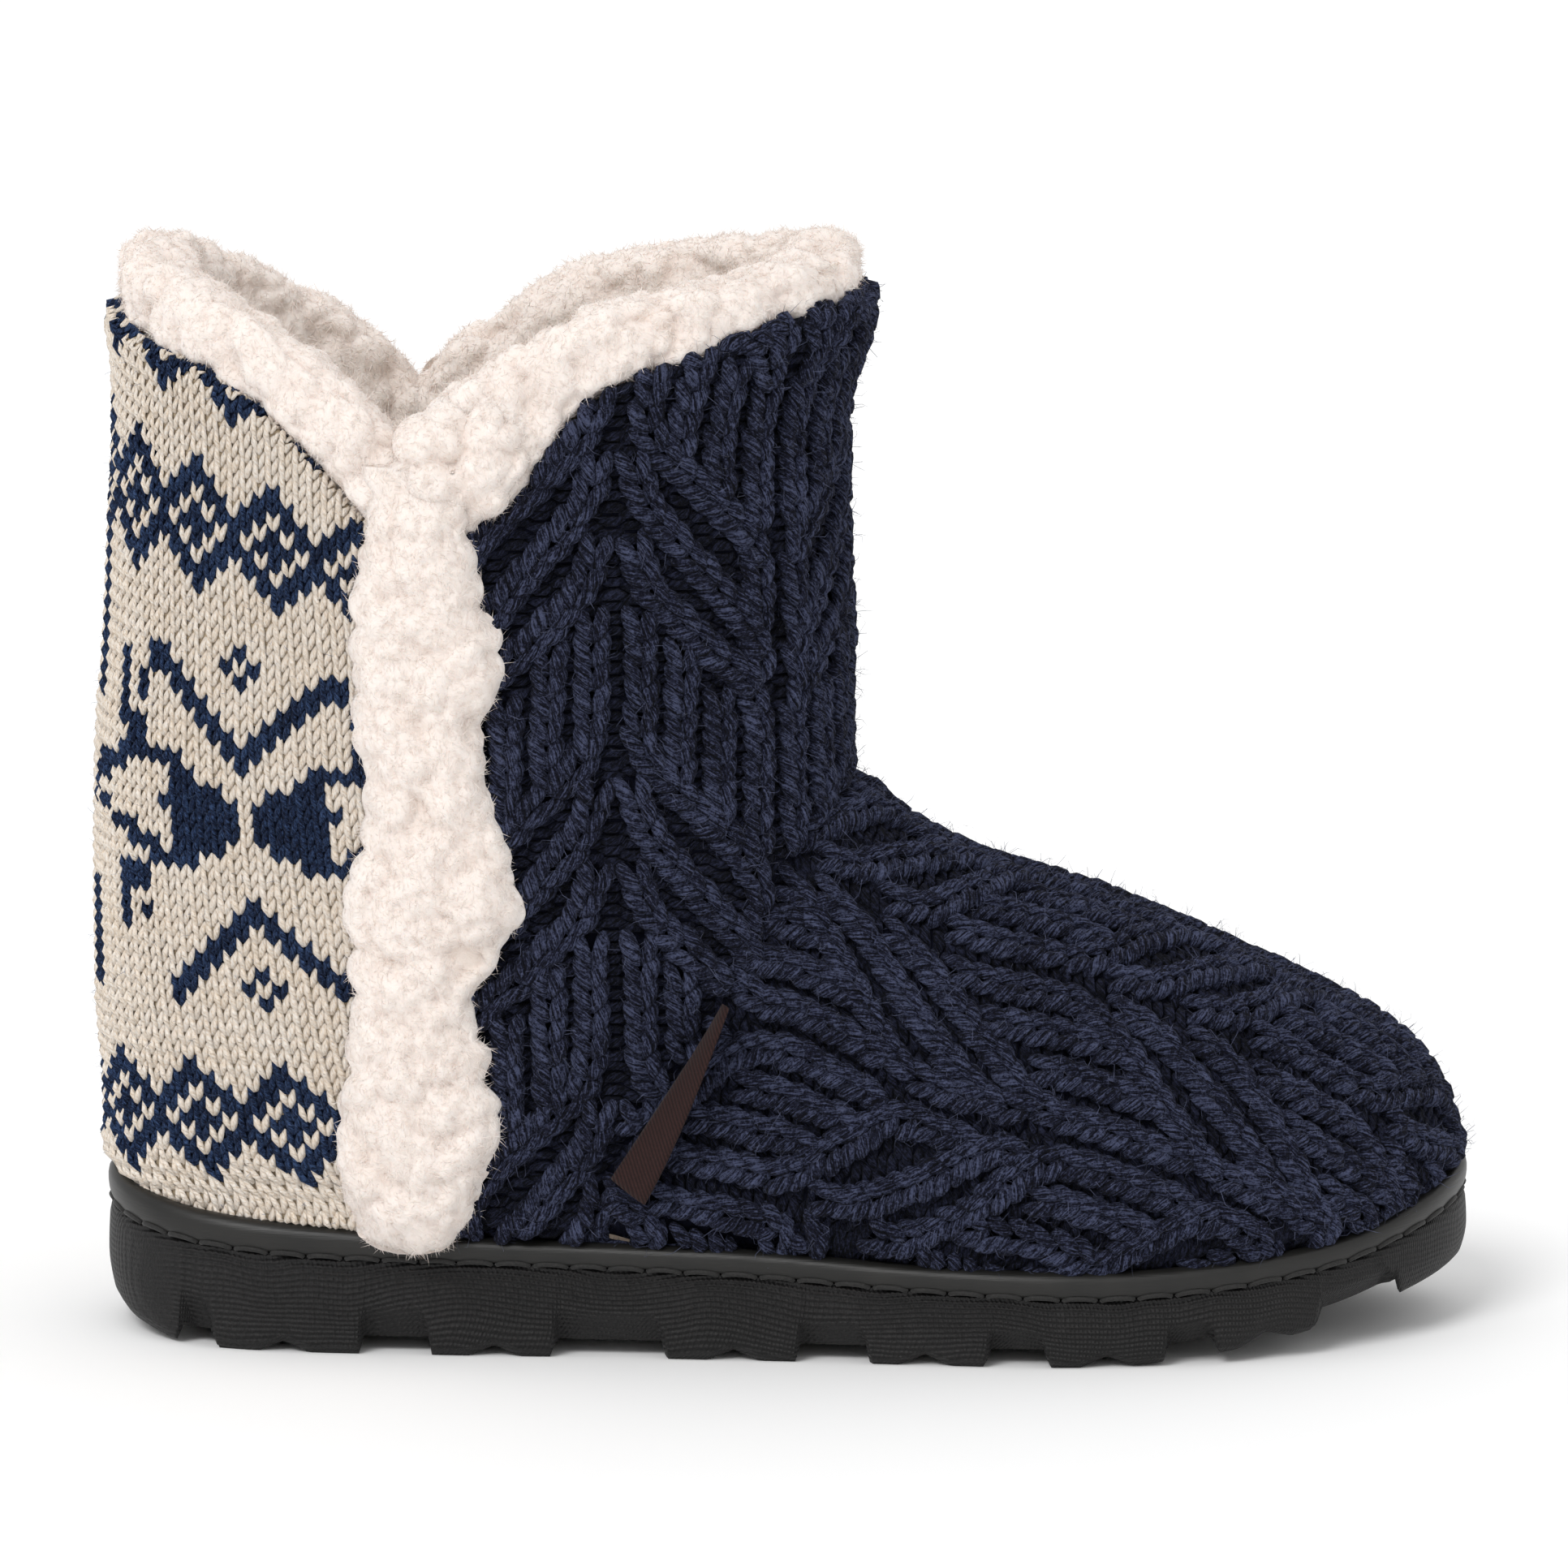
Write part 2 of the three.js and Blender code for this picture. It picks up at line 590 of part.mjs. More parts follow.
// Collar rolls: the fleece folded over the knitted edge, a rounded band that stands on it.
const ROLL = { width: 14, sides: 10, lumps: 0.9, square: 0.72 };
function makeRoll(fromAngle, toAngle, stations) {
  const rings = range(stations, (i) => {
    const angle = radians(fromAngle + ((toAngle - fromAngle) * i) / (stations - 1));
    const [low, high] = [knitEdgeAt(angle) + 2 * GAP, rollCrestAt(angle)];
    const along = angle * 60;
    return range(ROLL.sides, (k) => {
      const turn = (k / ROLL.sides) * 2 * Math.PI;
      const round = (v) => Math.sign(v) * Math.abs(v) ** ROLL.square;
      const [side, rise] = [round(Math.cos(turn)), 0.5 + 0.5 * round(Math.sin(turn))];
      const swell = ROLL.lumps * rise * lump(along, turn * 9);
      const out = rollOut(degreesFromToe(angle)) - ROLL.width / 2 + side * (ROLL.width / 2 + swell);
      const p = upperOffsetLevel(angle, low, out);
      p.z = low + (high - low + swell) * rise;
      return p;
    });
  });
  return skin(rings);
}

// The angle at which one side of the upper passes x at height z, and the surface there.
function sideAngle(x, z, side) {
  let [toe, heel] = [radians(1), radians(179)];
  for (let i = 0; i < 22; i++) {
    const middle = (toe + heel) / 2;
    if (upperPoint(side * middle, z).x > x) toe = middle;
    else heel = middle;
  }
  return side * toe;
}

// Side strips: bands of fleece down both side seams, from the notch to the rand.
const STRIP_THICKNESS = 6.5;
const STRIP_LUMPS = 0.9;
const STRIP_ACROSS = 6;
const STRIP_LEVELS = 24;
function makeStrip(side) {
  const seat = 1.5 * GAP;
  const rings = range(STRIP_LEVELS, (i) => {
    const share = i / (STRIP_LEVELS - 1);
    const columns = range(STRIP_ACROSS + 1, (k) => {
      const e = (k / STRIP_ACROSS) * 2 - 1;
      const z = (STRIP[0].z + (STRIP.at(-1).z - STRIP[0].z) * share) * GRADE.leg;
      const x = stripBack(z) + (stripFront(z) - stripBack(z)) * (0.5 + 0.5 * e);
      return { e, x, z, angle: sideAngle(x, z, side) };
    });
    const ends = Math.sqrt(clamp(9 * Math.min(share, 1 - share) + 0.2, 0, 1));
    const front = columns.map(({ e, x, z, angle }) => {
      const full = ends * (1 - Math.abs(e) ** 3);
      return upperOffset(angle, z, 0.9 + (STRIP_THICKNESS - 0.9 + STRIP_LUMPS * lump(z, x)) * full);
    });
    const back = columns.map(({ z, angle }) => upperOffset(angle, z, seat));
    return [...front, ...back.reverse()];
  });
  return skin(rings);
}

// Label: a blank folded ribbon caught in the seam between leg and vamp.
// It stands out of the seam and is turned over towards the vamp at its free end.
const LABEL = { top: { x: -11.6, z: 71 }, foot: { x: -33.8, z: 37 }, width: 8.5, thickness: 1.1, steps: 8 };
const LABEL_TURN = { top: 6, foot: 60 };
function makeLabel() {
  const { top, foot, width, thickness, steps } = LABEL;
  const rings = range(steps + 1, (i) => {
    const t = i / steps;
    const x = (top.x + (foot.x - top.x) * t) * GRADE.length;
    const z = (top.z + (foot.z - top.z) * t) * GRADE.foot;
    const seat = upperOffset(sideAngle(x, z, -1), z, 1);
    const normal = upperOffset(sideAngle(x, z, -1), z, 2).sub(seat).normalize();
    const along = new THREE.Vector3(foot.x - top.x, 0, foot.z - top.z).normalize();
    const right = normal.clone().cross(along).normalize();
    const turn = radians(LABEL_TURN.top + (LABEL_TURN.foot - LABEL_TURN.top) * t);
    const wide = normal.clone().multiplyScalar(Math.cos(turn)).addScaledVector(right, Math.sin(turn));
    const thick = along.clone().cross(wide).normalize();
    const corner = (w, s) => seat.clone().addScaledVector(wide, w).addScaledVector(thick, s);
    const half = thickness / 2;
    return [corner(0, half), corner(width, half), corner(width, -half), corner(0, -half)];
  });
  return skin(rings);
}

// The assembly
const materials = {
  rubber: { color: 0x1d1d1e, roughness: 0.75, metalness: 0 },
  rand: { color: 0x232323, roughness: 0.6, metalness: 0 },
  knit: { color: 0x20263a, roughness: 0.95, metalness: 0 },
  fleece: { color: 0xf3ece2, roughness: 1, metalness: 0 },
  label: { color: 0x3c2827, roughness: 0.8, metalness: 0 },
};

const boot = new THREE.Group();
function add(name, geometry, material) {
  const mesh = new THREE.Mesh(geometry, new THREE.MeshStandardMaterial(materials[material]));
  mesh.name = name;
  boot.add(mesh);
}

const ROLL_GAP_ANGLE = 0.4;
const rollEnd = NOTCH_ANGLE - ROLL_GAP_ANGLE;
const rollStart = NOTCH_ANGLE + ROLL_GAP_ANGLE;
add("outsole", makeOutsole(), "rubber");
add("rand", makeRand(), "rand");
add("insole", makeInsole(), "fleece");
add("upper", makeUpper(), "knit");
add("collar_roll_front", makeRoll(-rollEnd, rollEnd, 53), "fleece");
add("collar_roll_back", makeRoll(rollStart, 360 - rollStart, 29), "fleece");
add("side_strip_outer", makeStrip(-1), "fleece");
add("side_strip_inner", makeStrip(1), "fleece");
add("label_tab", makeLabel(), "label");

export default boot;
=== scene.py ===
"""A knitted slipper boot for the right foot: cable-knit front, patterned back, fleece collar, rubber sole.

Lengths are in millimetres and turn into metres only where a mesh is made. +X runs from the heel to the
toe, -Y is the outer side and +Z is up. The sizes and tables are the ones that the solids were made from.
"""

import math

import bpy
import numpy as np
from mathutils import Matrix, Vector


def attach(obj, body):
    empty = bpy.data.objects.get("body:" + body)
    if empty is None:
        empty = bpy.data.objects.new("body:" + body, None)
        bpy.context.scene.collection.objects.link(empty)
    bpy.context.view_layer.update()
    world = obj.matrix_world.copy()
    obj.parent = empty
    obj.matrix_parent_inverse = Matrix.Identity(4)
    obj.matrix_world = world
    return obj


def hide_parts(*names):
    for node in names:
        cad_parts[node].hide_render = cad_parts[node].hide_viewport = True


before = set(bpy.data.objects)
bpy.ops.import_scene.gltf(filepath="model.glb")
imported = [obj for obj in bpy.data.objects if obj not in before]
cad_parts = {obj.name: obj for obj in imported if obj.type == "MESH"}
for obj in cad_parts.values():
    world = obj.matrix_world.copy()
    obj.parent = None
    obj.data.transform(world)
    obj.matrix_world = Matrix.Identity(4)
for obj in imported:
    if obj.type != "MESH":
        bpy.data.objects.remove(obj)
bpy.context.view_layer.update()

MM = 0.001
rng = np.random.default_rng(7)

# Driving sizes
SOLE_LENGTH = 270.0
HALF_LENGTH = SOLE_LENGTH / 2
LEG_AXIS_X = -58.0
WALL = 6.0
RAND_THICKNESS = 3.0
TREAD_DEPTH = 3.2
HEEL_ROUNDNESS = 7.0
TOE_ROUNDNESS = 5.0

# The sole seen from above: its middle line, and half its width.
PLAN = {
    "x": [-135, -95, -50, -10, 30, 60, 85, 110, 135],
    "centre": [0, 0, -1, -1.8, -1, 1.5, 3, 5.5, 9],
    "half": [37.2, 37.2, 37.5, 39.3, 44, 48, 48, 46, 43],
}
# The sole seen from the side: the tread, the stitched groove on top of it, and the top of the rand.
SIDE = {
    "x": [-135, -128, -114, -90, -50, -10, 30, 62, 76, 90, 108, 123, 135],
    "tread": [6, 2.8, 0, 0, 0, 0, 0, 0, 1, 3, 6.2, 10, 12.4],
    "groove": [25, 23.2, 21, 19.4, 18.5, 17.2, 14.8, 13.6, 14.3, 15.6, 18, 22, 26],
    "rand": [32.4, 30, 27.4, 25.4, 23.4, 22.4, 19.8, 19.1, 19.6, 20.6, 23, 27.4, 32.6],
}
# The ridge of the foot, from inside the leg over the instep to the toe.
INSTEP = {
    "x": [-140, -40, 0, 16, 25, 37, 58, 75, 90, 104, 117, 125, 130, 133, 134.2, 134.5],
    "top": [132, 126, 117.5, 108.5, 101.8, 95.4, 88.6, 81.8, 75, 68.4, 61.4, 55, 48.6, 41.6, 34, 20],
}
# The leg by height: its back line, its front line and half its width.
LEG = {
    "z": [12, 30, 38, 50, 66, 84, 104, 116, 141, 160, 182, 192, 201, 210],
    "back": [-130.5, -133, -136, -136.2, -137.3, -137.4, -137.2,
             -136.9, -135.1, -134.2, -133.1, -133.2, -134.4, -134],
    "front": [30, 30, 27, 25, 21.5, 17.5, 13.8, 13.3, 13.5, 12.9, 12.8, 15, 17.8, 17.8],
    "half": [34, 36.5, 39.5, 41.5, 43.5, 45, 46, 46.3, 46.7, 47, 47.3, 47.5, 48, 48],
}
# The collar by angle from the toe: the knitted edge, the crest of the fleece roll, and how far it stands out.
COLLAR = {
    "angle": [0, 25, 43, 60, 70, 80, 88, 100, 110, 118, 128, 142, 158, 180],
    "knit": [208, 206.5, 200, 194, 187, 174, 167.5, 164.5, 164.5, 169, 179.5, 192, 199, 205],
    "crest": [217, 214, 211, 208, 205.5, 201.5, 197, 191, 185, 190, 197.5, 205, 212, 217],
    "out": [-4, -3.6, -2.5, -1.4, -0.8, 0, 0.5, 0.8, 0.8, 0.2, -1, -2.4, -3.6, -4.2],
}
NOTCH_ANGLE = 110.0
# The fleece band over each side seam: its back and front edges by height.
STRIP = {
    "z": [21, 28, 43, 51, 57, 63, 70, 82, 92, 100, 113, 126, 141, 153, 163],
    "back": [-83, -84.5, -87, -86, -85.5, -84.5, -83.5, -84, -84.5, -83, -80.5, -82.5, -83, -83, -80],
    "front": [-64, -62, -57, -55.5, -59, -57.5, -61, -55.5, -50.5, -52.5, -57, -58, -54.5, -58.5, -60.5],
}
# The seam between leg and vamp.
SEAM = {
    "z": [15, 23.2, 37.7, 48.7, 60.7, 71.2, 80.1, 89.9, 99.4, 106.1, 110.6, 113],
    "x": [-40, -37.6, -33.8, -26.3, -18.4, -11.6, -5.8, -1.2, 4.3, 9.7, 14.3, 17],
}


def column(table, key, name):
    """A smooth curve through one column of a table: a cubic with no overshoot."""
    at, value = np.array(table[key], float), np.array(table[name], float)
    rise = np.diff(value) / np.diff(at)
    before, after = rise[:-1], rise[1:]
    total = np.where(before * after > 0, before + after, np.inf)
    slope = np.concatenate([rise[:1], 2 * before * after / total, rise[-1:]])

    def curve(x):
        x = np.clip(x, at[0], at[-1])
        i = np.clip(np.searchsorted(at, x, side="right") - 1, 0, len(at) - 2)
        span = at[i + 1] - at[i]
        t = (x - at[i]) / span
        bend = t * (1 - t) * ((1 - t) * slope[i] - t * slope[i + 1]) * span
        return value[i] + (value[i + 1] - value[i]) * t * t * (3 - 2 * t) + bend

    return curve


plan_centre, plan_half = column(PLAN, "x", "centre"), column(PLAN, "x", "half")
tread_height, groove_height = column(SIDE, "x", "tread"), column(SIDE, "x", "groove")
rand_height, instep_height = column(SIDE, "x", "rand"), column(INSTEP, "x", "top")
leg_back, leg_front = column(LEG, "z", "back"), column(LEG, "z", "front")
leg_half, seam_x = column(LEG, "z", "half"), column(SEAM, "z", "x")
knit_edge_table, crest_table = column(COLLAR, "angle", "knit"), column(COLLAR, "angle", "crest")
roll_out_table = column(COLLAR, "angle", "out")
strip_back, strip_front = column(STRIP, "z", "back"), column(STRIP, "z", "front")


def degrees_from_toe(angle):
    return np.abs(np.degrees(np.arctan2(np.sin(angle), np.cos(angle))))


def knit_edge(angle):
    return knit_edge_table(degrees_from_toe(angle))


def plan_share(x, half_length):
    """How full the sole's outline is at x: 1 at the middle, 0 at the ends of its length."""
    power = np.where(x < 0, HEEL_ROUNDNESS, TOE_ROUNDNESS)
    return np.sqrt(np.clip(1 - np.abs(x / half_length) ** power, 0, None))


def sole_outline(turn, out):
    """The sole's outline moved out: from the heel (0) by the outer side to the toe (pi)."""

    def rim(a):
        x = -HALF_LENGTH * np.cos(a)
        return x, plan_centre(x) - np.sign(np.sin(a)) * plan_half(x) * plan_share(x, HALF_LENGTH)

    step = 1e-3
    (x, y), (x1, y1), (x0, y0) = rim(turn), rim(turn + step), rim(turn - step)
    length = np.hypot(x1 - x0, y1 - y0)
    return x + out * (y1 - y0) / length, y - out * (x1 - x0) / length


# The upper, as a distance from the leg's upright axis. Distances are found by halving a range.
FARTHEST = 230.0
HALVINGS = 24
BELLY = 1.6
ARCH_POWER = 2.15
FOOT_HEEL_X = -112.0
FOOT_TOE_X = HALF_LENGTH - 0.6
LEG_POWER = 2.35
ANKLE_SOFTNESS = 5.0
RAND_SOFTNESS = 1.5
SWELL = 3.2
RAND_INSET = RAND_THICKNESS + 0.6
RAND_CLEARANCE = 0.3


def foot_half(x, z):
    """Half the width of the foot at x and z: an arch that stands on the outline of the sole."""
    base, top = groove_height(x), instep_height(x)
    share = np.clip((z - base) / (top - base), 0, 1)
    u = np.clip(np.where(x < 0, x / FOOT_HEEL_X, x / FOOT_TOE_X), 0, 1)
    plan = plan_half(x) * np.sqrt(1 - u**TOE_ROUNDNESS)
    arch = (1 - share**ARCH_POWER) ** (1 / ARCH_POWER)
    width = (plan + BELLY * np.sin(np.pi * np.sqrt(share))) * arch
    return np.where((x <= FOOT_HEEL_X) | (x >= FOOT_TOE_X) | (z >= top), -1, width)


def edge_of(inside, shape):
    """The largest distance from the axis that is still inside a form."""
    low, high = np.zeros(shape), np.full(shape, FARTHEST)
    for _ in range(HALVINGS):
        middle = (low + high) / 2
        within = inside(middle)
        low, high = np.where(within, middle, low), np.where(within, high, middle)
    return low


def soft_max(a, b, soft):
    return (a + b + np.sqrt((a - b) ** 2 + soft**2)) / 2


def leg_reach(angle, z):
    centre, length = (leg_front(z) + leg_back(z)) / 2, (leg_front(z) - leg_back(z)) / 2
    half, dx, dy = leg_half(z), np.cos(angle), np.abs(np.sin(angle))

    def inside(r):
        along = np.abs((LEG_AXIS_X + r * dx - centre) / length)
        return along**LEG_POWER + (r * dy / half) ** LEG_POWER < 1

    return edge_of(inside, np.broadcast(angle, z).shape)


def upper_reach(angle, z):
    dx, dy = np.cos(angle), np.sin(angle)
    shape = np.broadcast(angle, z).shape

    def in_foot(r):
        x = LEG_AXIS_X + r * dx
        return np.abs(r * dy - plan_centre(x)) < foot_half(x, z)

    def in_rand(r):
        x = LEG_AXIS_X + r * dx
        half = (plan_half(x) - RAND_INSET) * plan_share(x, HALF_LENGTH - RAND_INSET)
        return np.abs(r * dy - plan_centre(x)) < half

    free = soft_max(leg_reach(angle, z), edge_of(in_foot, shape), ANKLE_SOFTNESS) - 0.5
    seat = edge_of(in_rand, angle.shape)
    top = rand_height(LEG_AXIS_X + (seat + RAND_INSET) * dx) + RAND_CLEARANCE
    held = seat + SWELL * np.sqrt(np.maximum(0, z - top))
    return -soft_max(-free, -held, RAND_SOFTNESS)


# The upper's distance at each height and angle, worked out once
ROW_STEP = 0.5
HALF_TURN_STEPS = 720
ANGLES = np.linspace(-np.pi, np.pi, 2 * HALF_TURN_STEPS + 1)
HEIGHTS = np.arange(10, 212.25, ROW_STEP)
REACH = upper_reach(ANGLES[None, :], HEIGHTS[:, None])
LEG_REACH = leg_reach(ANGLES[None, :], HEIGHTS[:, None])


def bilinear(table, row, col):
    """Reads a table of numbers or points at fractional rows and columns."""
    row = np.clip(row, 0, table.shape[0] - 1.001)
    col = np.clip(col, 0, table.shape[1] - 1.001)
    i, j = row.astype(int), col.astype(int)
    u, v = row - i, col - j
    if table.ndim == 3:
        u, v = u[..., None], v[..., None]
    low = table[i, j] * (1 - v) + table[i, j + 1] * v
    high = table[i + 1, j] * (1 - v) + table[i + 1, j + 1] * v
    return low * (1 - u) + high * u


def height_row(z):
    return (z - HEIGHTS[0]) / ROW_STEP


def angle_column(angle):
    return (angle + np.pi) / (2 * np.pi) * 2 * HALF_TURN_STEPS


def reach(angle, z):
    angle = np.arctan2(np.sin(angle), np.cos(angle))
    return bilinear(REACH, height_row(z), angle_column(angle))


def unit(v):
    return v / np.maximum(np.linalg.norm(v, axis=-1, keepdims=True), 1e-9)


def upper_surface(angle, z):
    """The point of the upper under an angle at a height, and the outward normal there."""
    angle, z = np.broadcast_arrays(np.asarray(angle, float), np.asarray(z, float))
    r = reach(angle, z)
    c, s = np.cos(angle), np.sin(angle)
    turn, rise = 0.012, 1.2
    by_turn = (reach(angle + turn, z) - reach(angle - turn, z)) / (2 * turn) / np.maximum(r, 1)
    by_rise = (reach(angle, z + rise) - reach(angle, z - rise)) / (2 * rise)
    point = np.stack([LEG_AXIS_X + r * c, r * s, z], -1)
    return point, unit(np.stack([c + by_turn * s, s - by_turn * c, -by_rise], -1))


def polar(point):
    return np.arctan2(point[..., 1], point[..., 0] - LEG_AXIS_X), point[..., 2]


# Sheets of knit, each with its own way to place a stitch: across (s) and along (t), in millimetres.
# On every sheet s grows towards the outer side of the foot from the sheet's middle line.
SHAFT_TOP = 208.0
ANKLE_Z = 116.0
ARC_REACH = 130
STRAIGHTENING = {"from": 8, "to": 30}
VAMP_START_X = -4.0
VAMP_REACH = {"across": 118, "back": 66, "ahead": 175}


def ramp(value, low, high):
    """Rises smoothly from 0 at low to 1 at high."""
    share = np.clip((value - low) / (high - low), 0, 1)
    return share * share * (3 - 2 * share)


def run_of(steps, axis=0):
    """How far along a path each of its points is, from the lengths of the steps between them."""
    start = np.zeros_like(np.take(steps, [0], axis))
    return np.concatenate([start, np.cumsum(steps, axis)], axis)


def arc_table(reach_rows, from_back):
    """For each height, the angle at each millimetre of arc from the front or back middle line."""
    angles = np.linspace(0, np.pi, HALF_TURN_STEPS + 1)
    rows, cols = np.meshgrid(np.arange(len(HEIGHTS), dtype=float), angle_column(angles), indexing="ij")
    r = bilinear(reach_rows, rows, cols)
    x, y = r * np.cos(angles), r * np.sin(angles)
    if from_back:
        x, y, angles = x[:, ::-1], y[:, ::-1], angles[::-1]
    arc = run_of(np.hypot(np.diff(x, axis=1), np.diff(y, axis=1)), 1)
    return np.stack([np.interp(np.arange(ARC_REACH + 1.0), a, angles) for a in arc])


def upright_below_ankle(table):
    """Below the ankle the leg's wales hang straight down, seen from the side, and don't follow the foot."""
    ankle = int(height_row(ANKLE_Z))
    angles, one_side = ANGLES[HALF_TURN_STEPS:], REACH[:, HALF_TURN_STEPS:]
    x_at = LEG_AXIS_X + np.interp(table[ankle], angles, one_side[ankle]) * np.cos(table[ankle])
    share = ramp(np.arange(table.shape[1]), STRAIGHTENING["from"], STRAIGHTENING["to"])
    for row in range(ankle):
        x = LEG_AXIS_X + one_side[row] * np.cos(angles)
        table[row] += (np.interp(x_at, x[::-1], angles[::-1]) - table[row]) * share
    return table


BACK_ANGLES = arc_table(REACH, True)
FRONT_ANGLES = upright_below_ankle(arc_table(LEG_REACH, False))


def place_back(s, z):
    angle = bilinear(BACK_ANGLES, height_row(z), np.abs(s))
    return upper_surface(-np.sign(s + 1e-9) * angle, z)


def place_shaft(s, t):
    """t runs down from the top of the leg, as the knit does."""
    z = SHAFT_TOP - t
    angle = bilinear(FRONT_ANGLES, height_row(z), np.abs(s))
    return upper_surface(-np.sign(s) * angle, z)


def vamp_table():
    """Lines over the foot that keep their distance from its ridge, with a point at each millimetre."""
    x = np.concatenate([np.arange(-70, 110.0), np.arange(110, 130, 0.5), np.arange(130, 134.4, 0.1)])
    ridge, foot = instep_height(x), groove_height(x)
    z = ridge[:, None] - (ridge - foot)[:, None] * np.linspace(0, 1, 161) ** 2
    half = np.maximum(foot_half(x[:, None], z), 0)
    arc = run_of(np.hypot(np.diff(half, axis=1), np.diff(z, axis=1)), 1)
    s = np.arange(VAMP_REACH["across"] + 1.0)
    out = np.stack([np.interp(s, a, h) for a, h in zip(arc, half)])
    height = np.stack([np.interp(s, a, h) - np.maximum(s - a[-1], 0) for a, h in zip(arc, z)])
    out = np.concatenate([out[:, :0:-1], -out], 1)
    height = np.concatenate([height[:, :0:-1], height], 1)
    lines = np.stack([np.broadcast_to(x[:, None], out.shape), plan_centre(x)[:, None] + out, height], -1)
    run = run_of(np.linalg.norm(np.diff(lines, axis=0), axis=-1))
    run -= run[int(VAMP_START_X - x[0])]
    t = np.arange(-VAMP_REACH["back"], VAMP_REACH["ahead"] + 1.0)
    placed = [[np.interp(t, run[:, k], lines[:, k, c]) for c in range(3)] for k in range(lines.shape[1])]
    return np.array(placed).transpose(2, 0, 1), run[-1]


VAMP_POINTS, VAMP_END = vamp_table()


def place_vamp(s, t):
    """t runs from the seam towards the toe."""
    rough = bilinear(VAMP_POINTS, t + VAMP_REACH["back"], s + VAMP_REACH["across"])
    return upper_surface(*polar(rough))


# Meshes
def add_mesh(name, points, faces, materials, face_material=None, yarn=None, smooth=True):
    """A mesh object from points in millimetres and arrays of faces with 3 or 4 corners each."""
    corners = np.concatenate([f.ravel() for f in faces]).astype(np.int32)
    sizes = np.concatenate([np.full(len(f), f.shape[1]) for f in faces])
    mesh = bpy.data.meshes.new(name)
    mesh.vertices.add(len(points))
    mesh.vertices.foreach_set("co", (points * MM).astype(np.float32).ravel())
    mesh.loops.add(len(corners))
    mesh.loops.foreach_set("vertex_index", corners)
    mesh.polygons.add(len(sizes))
    mesh.polygons.foreach_set("loop_start", np.concatenate([[0], np.cumsum(sizes)[:-1]]).astype(np.int32))
    mesh.polygons.foreach_set("use_smooth", np.full(len(sizes), smooth))
    for material in materials:
        mesh.materials.append(material)
    if face_material is not None:
        mesh.polygons.foreach_set("material_index", face_material.astype(np.int32))
    if yarn is not None:
        layer = mesh.attributes.new("yarn", "FLOAT_VECTOR", "POINT")
        layer.data.foreach_set("vector", yarn.astype(np.float32).ravel())
    mesh.update(calc_edges=True)
    mesh.validate()
    piece = bpy.data.objects.new(name, mesh)
    bpy.context.scene.collection.objects.link(piece)
    return piece


def dress(piece, slot, *nodes):
    """The piece rides on the boot and stands for some of the solids. The slot is not used."""
    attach(piece, "root")
    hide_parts(*nodes)
    return piece


def grid_faces(rows, cols, row_loop=False, col_loop=False):
    """Quads over a grid of points, facing the side from which rows run right and columns run up."""
    i, j = np.meshgrid(np.arange(rows if row_loop else rows - 1), np.arange(cols if col_loop else cols - 1))
    i, j = i.ravel(), j.ravel()
    i1, j1 = (i + 1) % rows, (j + 1) % cols
    return np.stack([i * cols + j, i1 * cols + j, i1 * cols + j1, i * cols + j1], 1)


def used_only(points, faces):
    """Leaves out the points that no face uses."""
    kept, index = np.unique(faces, return_inverse=True)
    return points[kept], index.reshape(faces.shape)


def turns(count):
    """Angles all the way round, evenly spaced."""
    return np.arange(count) / count * 2 * np.pi


def end_fans(rings, sides):
    """Triangles over both ends of a tube of rings, round two points that follow those of the rings."""
    k = np.arange(sides)
    k1 = (k + 1) % sides
    tip, top = rings * sides, (rings - 1) * sides
    starts = np.stack([np.full(sides, tip), k, k1], 1)
    ends = np.stack([np.full(sides, tip + 1), top + k1, top + k], 1)
    return np.concatenate([starts, ends])


def slab_faces(top, size, rim):
    """Faces of a slab: its top, the same again for the points below, and a band along the rim."""
    after = np.roll(rim, -1)
    band = np.stack([after, after + size, rim + size, rim], 1)
    return [np.concatenate([top, top[:, ::-1] + size, band])]


def outward(points, faces):
    """Faces of a closed mesh, all turned over where most of them face in."""
    volume = 0.0
    for f in faces:
        a, b, c = points[f[:, 0]], points[f[:, 1]], points[f[:, 2]]
        volume += np.sum(a * np.cross(b, c))
        if f.shape[1] == 4:
            volume += np.sum(a * np.cross(c, points[f[:, 3]]))
    return faces if volume > 0 else [f[:, ::-1] for f in faces]


